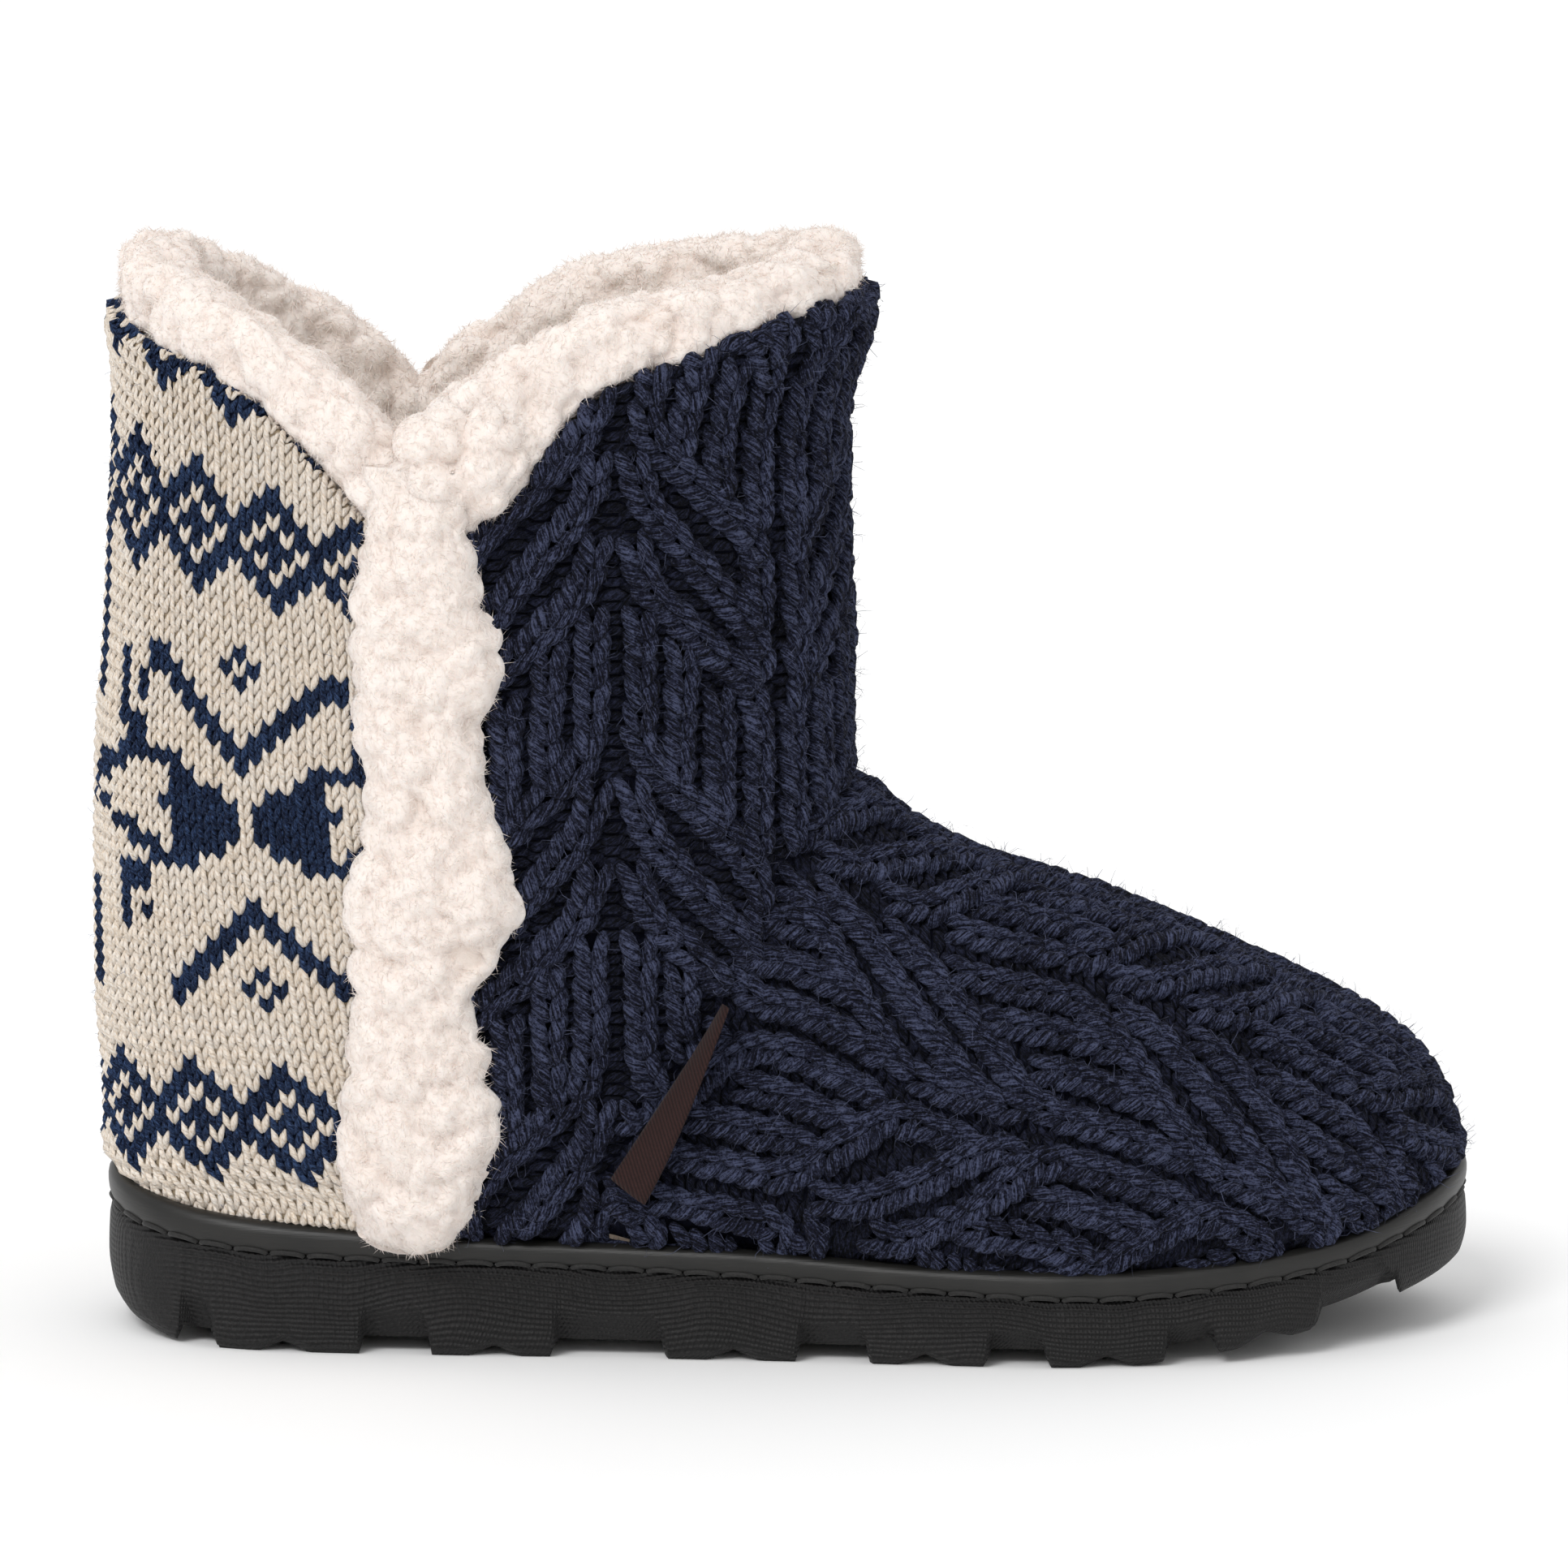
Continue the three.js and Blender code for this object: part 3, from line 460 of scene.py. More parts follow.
def tubes(centre, normal, half_width, half_height, sides):
    """Closed tubes, one for each row of centre points.

    The yarn coordinates are the millimetres along and around the yarn, and a number for each tube."""
    count, rings = centre.shape[:2]
    along = unit(np.gradient(centre, axis=1))
    across = unit(np.cross(normal, along))
    up = np.cross(along, across)
    turn = turns(sides) - np.pi / 2
    wide = (across * half_width[..., None])[:, :, None] * np.cos(turn)[:, None]
    high = (up * half_height[..., None])[:, :, None] * np.sin(turn)[:, None]
    body = (centre[:, :, None] + wide + high).reshape(count, -1, 3)
    first = centre[:, :1] - along[:, :1] * half_width[:, :1, None] * 0.7
    last = centre[:, -1:] + along[:, -1:] * half_width[:, -1:, None] * 0.7
    points = np.concatenate([body, first, last], 1)
    size = points.shape[1]
    shift = (np.arange(count) * size)[:, None, None]
    both = grid_faces(rings, sides, col_loop=True), end_fans(rings, sides)
    faces = [(f[:, ::-1] + shift).reshape(-1, f.shape[1]) for f in both]
    run = run_of(np.linalg.norm(np.diff(centre, axis=1), axis=-1), 1)
    yarn = np.zeros((count, size, 3))
    yarn[:, : rings * sides, 0] = np.repeat(run, sides, 1)
    yarn[:, size - 1, 0] = run[:, -1]
    yarn[:, : rings * sides, 1] = np.tile((turn + np.pi / 2) * half_width.mean(), rings)
    yarn[:, size - 2 :, 1] = half_width.mean() * np.pi
    yarn[:, :, 2] = rng.random((count, 1))
    return points.reshape(-1, 3), faces, yarn.reshape(-1, 3)


def joined(parts):
    """One mesh's points, faces and yarn coordinates from several."""
    points, faces, yarn, start = [], [], [], 0
    for p, fs, y in parts:
        points.append(p)
        faces += [f + start for f in fs]
        yarn.append(y)
        start += len(p)
    return np.concatenate(points), faces, np.concatenate(yarn)


# Soft randomness, the same on each run
WAVES = rng.normal(size=(24, 3))
PHASES = rng.random(24) * 2 * np.pi


def drift(points, size):
    """Smooth noise between about -1 and 1, with lumps of a size in millimetres."""
    total = np.zeros(points.shape[:-1])
    for wave, phase in zip(WAVES[:8], PHASES[:8]):
        total += np.sin(points @ (wave * 3.2 / size) + phase)
    return total / 4


# How sharp the creases are, how wide each curl is within its cell, and how round its top is.
TUFT = {"crease": 26.0, "wide": 0.82, "round": 0.75}
# Large whole numbers that scatter the curls, in the same way on each run
HASH = (73856093, 19349663, 83492791, 7919)
SPOT_HASH = (9781, 6271, 3571)
SPOTS = 1000003


def tufts(points, size, seed):
    """Rounded curls packed side by side: 1 at the middle of each, 0 in the creases between them."""
    p = points / size
    cell = np.floor(p).astype(np.int64)
    total = np.zeros(p.shape[:-1])
    for step in np.ndindex(3, 3, 3):
        here = cell + np.array(step) - 1
        mixed = here[..., 0] * HASH[0] ^ here[..., 1] * HASH[1] ^ here[..., 2] * HASH[2] ^ seed * HASH[3]
        spot = np.stack([((mixed * m) % SPOTS) / SPOTS for m in SPOT_HASH], -1)
        total += np.exp(-TUFT["crease"] * np.linalg.norm(here + spot - p, axis=-1))
    nearest = np.clip(-np.log(total) / TUFT["crease"], 0, None)
    return np.clip(1 - (nearest / TUFT["wide"]) ** 2, 0, 1) ** TUFT["round"]


# Where the sheets end and sink. The knit rounds its top edge and runs on inwards by a share of that radius.
EDGE_ROUND = 3.0
EDGE_RUN = 0.45
STEADY_TOP = 205.0
SET_BACK = {"from": 1.0, "to": 3.0, "rise": 1.5}
SEAM_SINK = {"depth": 2.4, "width": 4.2}
RAND_SWELL = {"out": 1.9, "over": 8.0, "under": 2.5}
SEAM_BATCH = 4000
SEAM_Z = np.linspace(SEAM["z"][0], SEAM["z"][-1], 197)
SEAM_LINE = np.stack([seam_x(SEAM_Z), SEAM_Z], 1)


def set_back(angle):
    """1 where the fleece roll stands well inside the knit's outer face, 0 where it is flush with it."""
    return ramp(-roll_out_table(degrees_from_toe(angle)), SET_BACK["from"], SET_BACK["to"])


def knit_top(angle, share):
    """Where the knit ends: a share of the rounding above its edge, and higher where the roll is set back."""
    return knit_edge(angle) + share * EDGE_ROUND + SET_BACK["rise"] * set_back(angle)


def past_seam(point):
    """How far a point lies on the vamp's side of the seam; below 0 it is on the leg."""
    flat = point.reshape(-1, 3)
    gap = np.concatenate([
        np.linalg.norm(part[:, None, [0, 2]] - SEAM_LINE, axis=-1).min(1)
        for part in np.array_split(flat, max(1, len(flat) // SEAM_BATCH))
    ])
    on_vamp = (flat[:, 0] > seam_x(flat[:, 2])) & (flat[:, 2] < SEAM["z"][-1])
    return np.where(on_vamp, gap, -gap).reshape(point.shape[:-1])


def rand_swell(point):
    """How far the knit bulges out just above the rand, which holds it in."""
    above = point[..., 2] - rand_height(point[..., 0])
    return RAND_SWELL["out"] * np.where(above > 0, np.clip(1 - above / RAND_SWELL["over"], 0, 1),
                                        np.clip(1 + above / RAND_SWELL["under"], 0, 1))


def seam_sink(point):
    """How deep the knit sinks into the seam; below 0 where the rand makes it bulge."""
    near = np.clip(1 - np.abs(past_seam(point)) / SEAM_SINK["width"], 0, 1)
    return SEAM_SINK["depth"] * near**1.6 - rand_swell(point)


def over_edge(place):
    """A place function whose knit turns inwards over the top edge of the upper.

    The table of distances ends a little higher, so the normal there is the one at STEADY_TOP."""

    def placed(s, row_z):
        point, normal = place(s, np.minimum(row_z, STEADY_TOP))
        edge = knit_edge(polar(point)[0])
        start = np.minimum(edge, SHAFT_TOP) - EDGE_ROUND
        turn = np.clip((row_z - start) / EDGE_ROUND, 0, None)
        below, _ = place(s, np.minimum(row_z, start))
        bend = np.minimum(turn, np.pi / 2)
        level = unit(normal * [1, 1, 0])
        past_top = EDGE_RUN * (1 - np.exp(-(turn - bend) / EDGE_RUN))
        inward = EDGE_ROUND * (1 - np.cos(bend) + past_top)
        below[..., 2] += EDGE_ROUND * np.sin(bend)
        below -= level * inward[..., None]
        up = np.array([0, 0, 1.0])
        turned = unit(normal * np.cos(bend)[..., None] + up * np.sin(bend)[..., None])
        return below, np.where(turn[..., None] > 0, turned, normal)

    return placed


back_place = over_edge(place_back)
shaft_by_z = over_edge(lambda s, z: place_shaft(s, SHAFT_TOP - z))


def shaft_place(s, t):
    return shaft_by_z(s, SHAFT_TOP - t)


# Materials
class Value:
    """A number in a material. A sum or product of values adds the node that works it out."""

    def __init__(self, tree, socket):
        self.tree, self.socket = tree, socket

    def __add__(self, other):
        return self.tree.math("ADD", self, other)

    def __sub__(self, other):
        return self.tree.math("SUBTRACT", self, other)

    def __rsub__(self, other):
        return self.tree.math("SUBTRACT", other, self)

    def __mul__(self, other):
        return self.tree.math("MULTIPLY", self, other)


class Tree:
    """Short ways to add and join the nodes of a material."""

    def __init__(self, name, roughness, specular, sheen=0.0, sheen_roughness=0.5):
        self.material = bpy.data.materials.new(name)
        self.material.use_nodes = True
        self.nodes, self.links = self.material.node_tree.nodes, self.material.node_tree.links
        self.surface = self.nodes["Principled BSDF"].inputs
        self.surface["Roughness"].default_value = roughness
        self.surface["Specular IOR Level"].default_value = specular
        self.surface["Sheen Weight"].default_value = sheen
        self.surface["Sheen Roughness"].default_value = sheen_roughness

    def add(self, kind, inputs, **settings):
        """A new node; what comes out of it is read by the name or the number of its output."""
        node = self.nodes.new(kind)
        for key, value in settings.items():
            setattr(node, key, value)
        for key, value in inputs.items():
            value = value.socket if isinstance(value, Value) else value
            if isinstance(value, bpy.types.NodeSocket):
                self.links.new(value, node.inputs[key])
            else:
                node.inputs[key].default_value = value
        return node.outputs

    def math(self, operation, a, b=0.0):
        return Value(self, self.add("ShaderNodeMath", {0: a, 1: b}, operation=operation)[0])

    def noise(self, vector, scale, detail=3.0, roughness=0.55, distortion=0.0):
        inputs = {"Vector": vector, "Scale": scale, "Detail": detail, "Roughness": roughness,
                  "Distortion": distortion}
        return Value(self, self.add("ShaderNodeTexNoise", inputs)["Fac"])

    def place(self):
        return self.add("ShaderNodeTexCoord", {})["Object"]

    def split(self, vector):
        return [Value(self, part) for part in self.add("ShaderNodeSeparateXYZ", {"Vector": vector})]

    def yarn(self):
        """The yarn coordinates of a mesh: along, around, and a number for each strand."""
        return self.split(self.add("ShaderNodeAttribute", {}, attribute_name="yarn")["Vector"])

    def colour(self, tone, stops):
        """The surface's colour by tone, from colours as seen on a screen, 0 to 255, at stops from 0 to 1."""
        blend = self.nodes.new("ShaderNodeValToRGB")
        self.links.new(tone.socket, blend.inputs["Fac"])
        stack = blend.color_ramp.elements
        while len(stack) < len(stops):
            stack.new(0.5)
        for element, (at, colour) in zip(stack, stops.items()):
            element.position = at
            element.color = [*map(linear, colour), 1.0]
        self.links.new(blend.outputs["Color"], self.surface["Base Color"])

    def bump(self, height, strength, distance, below=None):
        inputs = {"Height": height, "Strength": strength, "Distance": distance}
        if below is not None:
            inputs["Normal"] = below
        normal = self.add("ShaderNodeBump", inputs)["Normal"]
        self.links.new(normal, self.surface["Normal"])
        return normal


def linear(value):
    """The light of one channel of a colour, from its value on a screen."""
    share = value / 255
    return share / 12.92 if share <= 0.04045 else ((share + 0.055) / 1.055) ** 2.4


PLY_TWIST = 0.9
PLY_LENGTH = 1.9


def yarn_material(name, dark, middle, light, coarse=1.0, relief=1.0):
    """Plied wool: plies that wind round the yarn, fine hairs along them, drift of colour, and painted shade
    in the ply grooves.
    """
    t = Tree(name, 0.95, 0.12, sheen=0.04, sheen_roughness=0.4)
    along, around, chance = t.yarn()
    wound = around + along * PLY_TWIST
    ply = t.math("ABSOLUTE", t.math("SINE", wound * (math.pi / (PLY_LENGTH * coarse))))
    groove = t.math("POWER", 1.0 - ply, 3.0)
    fibre_at = t.add("ShaderNodeCombineXYZ", {0: (along - around * 0.8) * (0.35 / coarse),
                                              1: wound * (3.0 / coarse), 2: chance * 60.0})[0]
    fibre = t.noise(fibre_at, 1.0, 4.0, 0.65)
    place = t.place()
    drift_of_colour = t.noise(place, 90.0, 2.0)
    fluff = t.noise(place, 1900.0, 4.0, 0.7)
    # Darker in the grooves between the plies: painted shade.
    tone = fibre * 0.85 + drift_of_colour * 0.15 + chance * 0.06 + fluff * 0.6 - 0.3 - groove * 0.12
    t.colour(tone, {0.36: dark, 0.49: middle, 0.64: light})
    first = t.bump(fibre - groove * 0.45, 1.0, 0.0015 * coarse * relief)
    t.bump(fluff, 0.9, 0.0009 * coarse * relief, below=first)
    return t.material


def plain_material(name, dark, light, roughness, scale, depth):
    """Hair or thread, with one noise for its colour and its relief."""
    t = Tree(name, roughness, 0.3, sheen=0.1)
    tone = t.noise(t.place(), scale, 4.0, 0.6)
    t.colour(tone, {0.3: dark, 0.7: light})
    t.bump(tone, 0.6, depth)
    return t.material


def ground_material(name, dark, light, depth):
    """Loops seen between the raised stitches, painted darker than their yarn as the shade in the gaps."""
    t = Tree(name, 0.95, 0.1)
    tone = t.noise(t.place(), 900.0, 4.0, 0.65)
    t.colour(tone, {0.3: dark, 0.75: light})
    t.bump(tone, 0.7, depth)
    return t.material


def fleece_material(name, crease, middle, top):
    """Curled fleece: fine fluff that lies every way, with painted shade: white on the tops of the curls,
    darker and warmer in the creases between them.
    """
    t = Tree(name, 1.0, 0.08, sheen=0.12, sheen_roughness=0.7)
    t.surface["Subsurface Weight"].default_value = 0.25
    t.surface["Subsurface Radius"].default_value = (0.003, 0.0024, 0.002)
    t.surface["Subsurface Scale"].default_value = 1.0
    level, _, _ = t.yarn()
    place = t.place()
    clumps = t.noise(place, 420.0, 3.0, 0.6, 1.6)
    fluff = t.noise(place, 1500.0, 4.0, 0.75, 2.2)
    # Painted shade: the level on the curl darkens and warms the creases and whitens the tops.
    t.colour(level * 0.55 + fluff * 0.35 + clumps * 0.25, {0.2: crease, 0.45: middle, 0.75: top})
    first = t.bump(clumps, 0.3, 0.002)
    t.bump(fluff, 0.3, 0.0008, below=first)
    return t.material


def rubber_material():
    """Moulded rubber that took the weave of a cloth: fine dotted rows that wander a little."""
    t = Tree("outsole_rubber", 0.55, 0.35)
    place = t.place()
    x, y, z = t.split(place)
    wander = t.noise(place, 22.0, 2.0) * 0.012
    grain = t.noise(place, 1300.0, 3.0, 0.6)
    rows = t.math("SINE", (z + wander) * (2 * math.pi / 0.0011))
    threads = t.math("SINE", (x + y + wander) * (2 * math.pi / 0.0009))
    weave = rows * 0.65 + threads * 0.35
    tone = weave * 0.16 + grain * 0.6 + t.noise(place, 60.0, 4.0) * 0.4
    t.colour(tone, {0.3: (5, 5, 5), 0.5: (10, 9, 10), 0.75: (25, 23, 23)})
    t.bump(weave * 0.45 + grain, 0.9, 0.0006)
    return t.material


def rand_material():
    """Smooth rubber strip with fine lines drawn along it."""
    t = Tree("rand_wrap", 0.42, 0.4)
    place = t.place()
    x, y, z = t.split(place)
    stretched = t.add("ShaderNodeCombineXYZ", {0: x * 0.06, 1: y * 0.06, 2: z})[0]
    t.colour(t.noise(place, 90.0, 4.0), {0.3: (20, 20, 19), 0.7: (31, 30, 28)})
    t.bump(t.noise(stretched, 2600.0, 3.0, 0.6), 0.35, 0.00025)
    return t.material


def twill_material():
    """Woven ribbon with slanted ribs."""
    t = Tree("label_ribbon", 0.8, 0.2, sheen=0.05)
    place = t.place()
    x, _, z = t.split(place)
    rib = t.math("SINE", (x + z * 0.35) * 8500.0)
    grain = t.noise(place, 2600.0, 3.0)
    t.colour(rib * 0.2 + grain * 0.7, {0.15: (26, 12, 11), 0.7: (54, 32, 30)})
    t.bump(rib * 0.5 + grain, 0.5, 0.00018)
    return t.material


navy_yarn = yarn_material("navy_yarn", (7, 8, 17), (27, 29, 48), (90, 97, 128))
# The purl bars sit deep between the ribs, so their yarn is painted darker than the navy yarn: painted shade.
navy_purl_shaded = yarn_material("navy_purl_shaded", (4, 5, 10), (15, 17, 30), (50, 54, 78))
cream_yarn = yarn_material("cream_yarn", (233, 214, 190), (252, 238, 222), (255, 248, 239), 0.5, 0.5)
blue_yarn = yarn_material("blue_yarn", (13, 19, 37), (26, 38, 66), (68, 92, 134), 0.5, 0.8)
# The ground cloths are darker copies of the yarns above them: painted shade in the gaps between the stitches.
navy_ground_shaded = ground_material("navy_ground_shaded", (7, 8, 15), (22, 24, 40), 0.001)
blue_ground_shaded = ground_material("blue_ground_shaded", (9, 13, 24), (24, 34, 58), 0.0004)
back_ground = ground_material("back_ground", (140, 121, 98), (214, 198, 172), 0.0004)
fleece = fleece_material("fleece", (233, 218, 207), (238, 226, 218), (242, 232, 225))
# A brighter, warmer copy of the fleece for the lining inside the boot, where less light reaches: painted
# light.
lining_fleece_lit = fleece_material("lining_fleece_lit", (252, 235, 216), (255, 243, 228), (255, 248, 238))
outsole_rubber, rand_wrap, label_ribbon = rubber_material(), rand_material(), twill_material()
navy_hair = plain_material("navy_hair", (44, 48, 68), (92, 97, 122), 0.9, 900.0, 0.0001)
blue_hair = plain_material("blue_hair", (50, 66, 98), (96, 112, 146), 0.9, 900.0, 0.0001)
thread_black = plain_material("thread_black", (20, 20, 20), (44, 43, 42), 0.7, 2500.0, 0.0002)


# Patterned back panel
COURSE = 2.75
FIRST_COURSE_Z = 35.3
COURSES = range(-7, 67)
BACK_WALES = range(-29, 30)
BACK_REACH = 88
BACK_LIFT = {"from": 95, "over": 68, "rise": 11, "half": 56}
BACK_LEG = {
    "along": [-0.66, -0.04, 0.58],
    "across": [0.08, 0.26, 0.4],
    "height": [-0.85, -0.35, -1.0],
    "half_width": [0.5, 0.74, 0.56],
    "half_height": [0.45, 0.66, 0.45],
}
BACK_GAUGE = 3.08
BACK_JITTER = [0.06, 0.08, 0.05]
BACK_YARN = {"strip": 2.6, "rand": 2, "top": 0.6}
BACK_CLOTH = {"strip": 6, "rand": 4, "top": 0.8, "depth": 0.95, "wave": 0.12, "across": 1.6, "along": 1.5}
PATTERN_REPEAT = 36
VEIN_HALF = 0.62


def wale_width(z):
    return np.interp(z, [46, 106, 165, 205], [3.3, 3.08, 2.8, 2.7])


def course_height(s, course):
    level = FIRST_COURSE_Z + COURSE * course
    lift = BACK_LIFT["rise"] * (np.clip(level - BACK_LIFT["from"], 0, None) / BACK_LIFT["over"]) ** 1.5
    return level + lift * (1 - (np.abs(s) / BACK_LIFT["half"]) ** 1.3)


def is_blue(wale, k):
    """The chart of the two-colour knit: zigzag bands, and between them chevrons, leaves and hooks."""
    c = np.abs(wale % PATTERN_REPEAT - PATTERN_REPEAT // 2)

    def band(centre, phase):
        d = np.abs((c - phase + 3) % 6 - 3)
        e = np.abs(k - centre)
        return (d + e <= 4) & (d + e != 2)

    blue = band(4, 0) | band(46, 3) | band(58, 0)
    rise = np.minimum(c, 6)
    blue |= (c <= 7) & ((k == 30 + rise) | (k == 31 + rise)) | (c + np.abs(k - 37) == 1)
    blue |= (c <= 6) & ((k == 20 - c) | (k == 19 - c)) | (c + np.abs(k - 14) == 1)
    disc = np.interp(c, [0, 1, 2, 3, 4, 5, 6], [-1, 1.5, 2.3, 2.8, 3.7, 3.5, -1])
    blue |= (np.abs(k - 26) <= disc) | (c == 6) & (k == 27)
    upper_vein = np.interp(c, [5, 8, 9, 10, 12, 13, 14, 15], [29.5, 30.5, 30.5, 29.6, 28.6, 28.6, 27.5, 26])
    lower_vein = np.interp(c, [6, 7, 8, 9, 12, 13], [23, 23.6, 23.9, 24.4, 25.7, 26])
    blue |= (c >= 5) & (c <= 15) & (np.abs(k - upper_vein) <= VEIN_HALF)
    blue |= (c >= 6) & (c <= 13) & (np.abs(k - lower_vein) <= VEIN_HALF)

    def block(c0, c1, k0, k1):
        return (c >= c0) & (c <= c1) & (k >= k0) & (k <= k1)

    blue |= block(10, 10, 32, 36) | block(8, 10, 32, 32) | block(8, 8, 34, 35)
    blue |= block(10, 10, 18, 21) | block(8, 10, 21, 22) | block(8, 8, 19, 19)
    return blue | block(14, 15, 33, 43) | block(14, 15, 13, 20)


def behind_strip(point, margin):
    return point[..., 0] < strip_back(point[..., 2]) + margin


def ahead_of_strip(point, margin):
    return point[..., 0] > strip_front(point[..., 2]) - margin


def above_rand(point, margin):
    return point[..., 2] > rand_height(point[..., 0]) + margin


def in_back(point, z, margin):
    inside = behind_strip(point, margin["strip"]) & above_rand(point, -margin["rand"])
    return inside & (z < knit_top(polar(point)[0], margin["top"]))


def make_back():
    wale, course = [a.ravel() for a in np.meshgrid(BACK_WALES, COURSES)]
    z_guess = course_height(wale * 3.0, course)
    s = wale * wale_width(z_guess)
    z = course_height(s, course)
    point, _ = back_place(s, z)
    keep = in_back(point, z, BACK_YARN)
    wale, course, s, z = wale[keep], course[keep], s[keep], z[keep]
    parts = []
    shape = {key: np.array(value) for key, value in BACK_LEG.items()}
    width = wale_width(z)[:, None]
    for side in (-1, 1):
        jitter = rng.normal(size=(len(s), 3)) * BACK_JITTER
        across = s[:, None] + side * shape["across"] * width + jitter[:, :1]
        tilt = course_height(across, course[:, None]) - course_height(s[:, None], course[:, None])
        up = z[:, None] + tilt + shape["along"] * COURSE * 1.02 + jitter[:, 1:2]
        at, normal = back_place(across, up)
        centre = at + normal * (shape["height"] + jitter[:, 2:] + rand_swell(at))[..., None]
        thick = 1 + rng.normal(size=(len(s), 1)) * 0.06
        fit = width / BACK_GAUGE * thick
        parts.append(tubes(centre, normal, shape["half_width"] * fit, shape["half_height"] * fit, 4))
    points, faces, yarn = joined(parts)
    blue = is_blue(wale, course)
    per_leg = [len(f) // len(blue) for f in parts[0][1]]
    face_material = np.concatenate([np.repeat(blue, n) for _ in range(2) for n in per_leg])
    piece = add_mesh("knit_back", points, faces, [cream_yarn, blue_yarn], face_material, yarn)
    return dress(piece, "knit", "upper")


def make_sheet(name, place, across, along, keep, depth, materials, second=None):
    """A cloth under the stitches, as a grid over part of the upper, with a second colour where it's given."""
    s, t = np.meshgrid(across, along, indexing="ij")
    point, normal = place(s, t)
    inside = keep(s, t, point)
    point = point - normal * depth(s, t, point)[..., None]
    faces = grid_faces(len(across), len(along))
    faces = faces[inside.ravel()[faces].all(1)]
    face_material = None if second is None else second(s, t).ravel()[faces].sum(1) >= 2
    points, faces = used_only(point.reshape(-1, 3), faces)
    return dress(add_mesh(name, points, [faces], materials, face_material), "knit", "upper")


def make_back_ground():
    def keep(_, z, point):
        return in_back(point, z, BACK_CLOTH)

    def depth(s, z, point):
        wave = BACK_CLOTH["wave"] * np.cos(2 * np.pi * s / wale_width(z))
        return BACK_CLOTH["depth"] + wave - rand_swell(point)

    def under_blue(s, z):
        courses = np.array(COURSES)
        nearest = np.abs(course_height(s[..., None], courses) - z[..., None]).argmin(-1)
        return is_blue(np.round(s / wale_width(z)).astype(int), courses[nearest])

    across = np.arange(-BACK_REACH, BACK_REACH + 0.1, BACK_CLOTH["across"])
    along = np.arange(18, 212, BACK_CLOTH["along"])
    make_sheet("knit_back_ground", back_place, across, along, keep, depth, [back_ground, blue_ground_shaded],
               under_blue)


# Cable knit of the leg's front and of the vamp
RIB = {"width": 7.0, "pitch": 4.6, "radius": 1.68, "proud": 0.35, "flat": 0.92, "sides": 7, "ahead": 1.5}
# How much a stitch differs: along the rib, across it, in height and in thickness.
RIB_JITTER = [0.16, 0.2, 0.12, 0.05]
RIB_LEG = {
    "along": [-0.66, -0.34, 0.02, 0.38, 0.72],
    "across": [0.36, 0.32, 0.245, 0.15, 0.04],
    "height": [-1.4, -0.2, 0.45, 0.45, -0.45],
    "thick": [0.6, 0.95, 1.0, 0.9, 0.55],
}
CABLE_PERIOD = 64.0
# Ribs of half a cell: across it from the ladder (0) to where the ribs converge (1), and along it in periods.
CABLE_RIBS = [
    {"across": [0.14, 0.14, 0.2, 0.5, 0.78, 0.87, 0.87], "along": [-0.36, 0, 0.1, 0.27, 0.42, 0.52, 0.72]},
    {"across": [0.1, 0.16, 0.5, 0.78, 0.87, 0.87], "along": [0.16, 0.28, 0.52, 0.7, 0.8, 0.86]},
    {"across": [0.1, 0.18, 0.5, 0.78, 0.87, 0.87], "along": [0.42, 0.55, 0.74, 0.88, 1.0, 1.4]},
    {"across": [0.38, 0.38], "along": [0.74, 1.17]},
    {"across": [0.62, 0.62], "along": [0.9, 1.3]},
]
SHAFT_CELLS = {"ladders": [0, 70, -70], "half": 35.0, "start": 18.0, "reach": 110, "ground": (-6, 192)}
VAMP_CELLS = {"ladders": [34, -34, 102, -102], "half": 34.0, "start": 0.0, "reach": 116, "ground": (-64, 175)}
PERIODS = range(-2, 4)


def at_run(run, path, where):
    """The points of a path at given runs along it."""
    return np.stack([np.interp(where, run, path[:, k]) for k in (0, 1)], 1)


def rib_stitches(cells):
    """Where each stitch of each rib sits, and which way it points, in a sheet's own millimetres."""
    at, way = [], []
    for ladder in cells["ladders"]:
        for side in (1, -1):
            for period in PERIODS:
                for rib in CABLE_RIBS:
                    along = np.linspace(rib["along"][0], rib["along"][-1], 400)
                    share = column(rib, "along", "across")(along)
                    s = ladder + side * share * cells["half"]
                    path = np.stack([s, cells["start"] + (along + period) * CABLE_PERIOD], 1)
                    run = run_of(np.linalg.norm(np.diff(path, axis=0), axis=1))
                    count = max(2, round(run[-1] / RIB["pitch"]))
                    mids = (np.arange(count) + 0.5) * run[-1] / count
                    at.append(at_run(run, path, mids))
                    ahead, behind = mids + RIB["ahead"], mids - RIB["ahead"]
                    way.append(unit(at_run(run, path, ahead) - at_run(run, path, behind)))
    return np.concatenate(at), np.concatenate(way)


def rib_tubes(place, at, way):
    parts = []
    shape = {key: np.array(value) for key, value in RIB_LEG.items()}
    for side in (-1, 1):
        jitter = rng.normal(size=(len(at), 4)) * RIB_JITTER
        a = shape["along"] * RIB["pitch"] + jitter[:, :1]
        b = side * shape["across"] * RIB["width"] + jitter[:, 1:2]
        s = at[:, :1] + a * way[:, :1] - b * way[:, 1:]
        t = at[:, 1:] + a * way[:, 1:] + b * way[:, :1]
        point, normal = place(s, t)
        height = shape["height"] - RIB["radius"] + RIB["proud"] + jitter[:, 2:3] - seam_sink(point)
        centre = point + normal * height[..., None]
        thick = shape["thick"] * RIB["radius"] * (1 + jitter[:, 3:])
        parts.append(tubes(centre, normal, thick, thick * RIB["flat"], RIB["sides"]))
    return joined(parts)


PURL = {
    "width": 4.7, "pitch": 2.4, "radius": 1.2, "height": -2.7, "clear": 1.8, "rise": 0.6, "overlap": 1.12,
    "droop": 3.2, "jitter": 0.15, "thick": [0.75, 1.0, 1.0, 0.75], "flat": 0.9, "sides": 5,
    "columns": range(-23, 24), "from": -140, "to": 200,
}


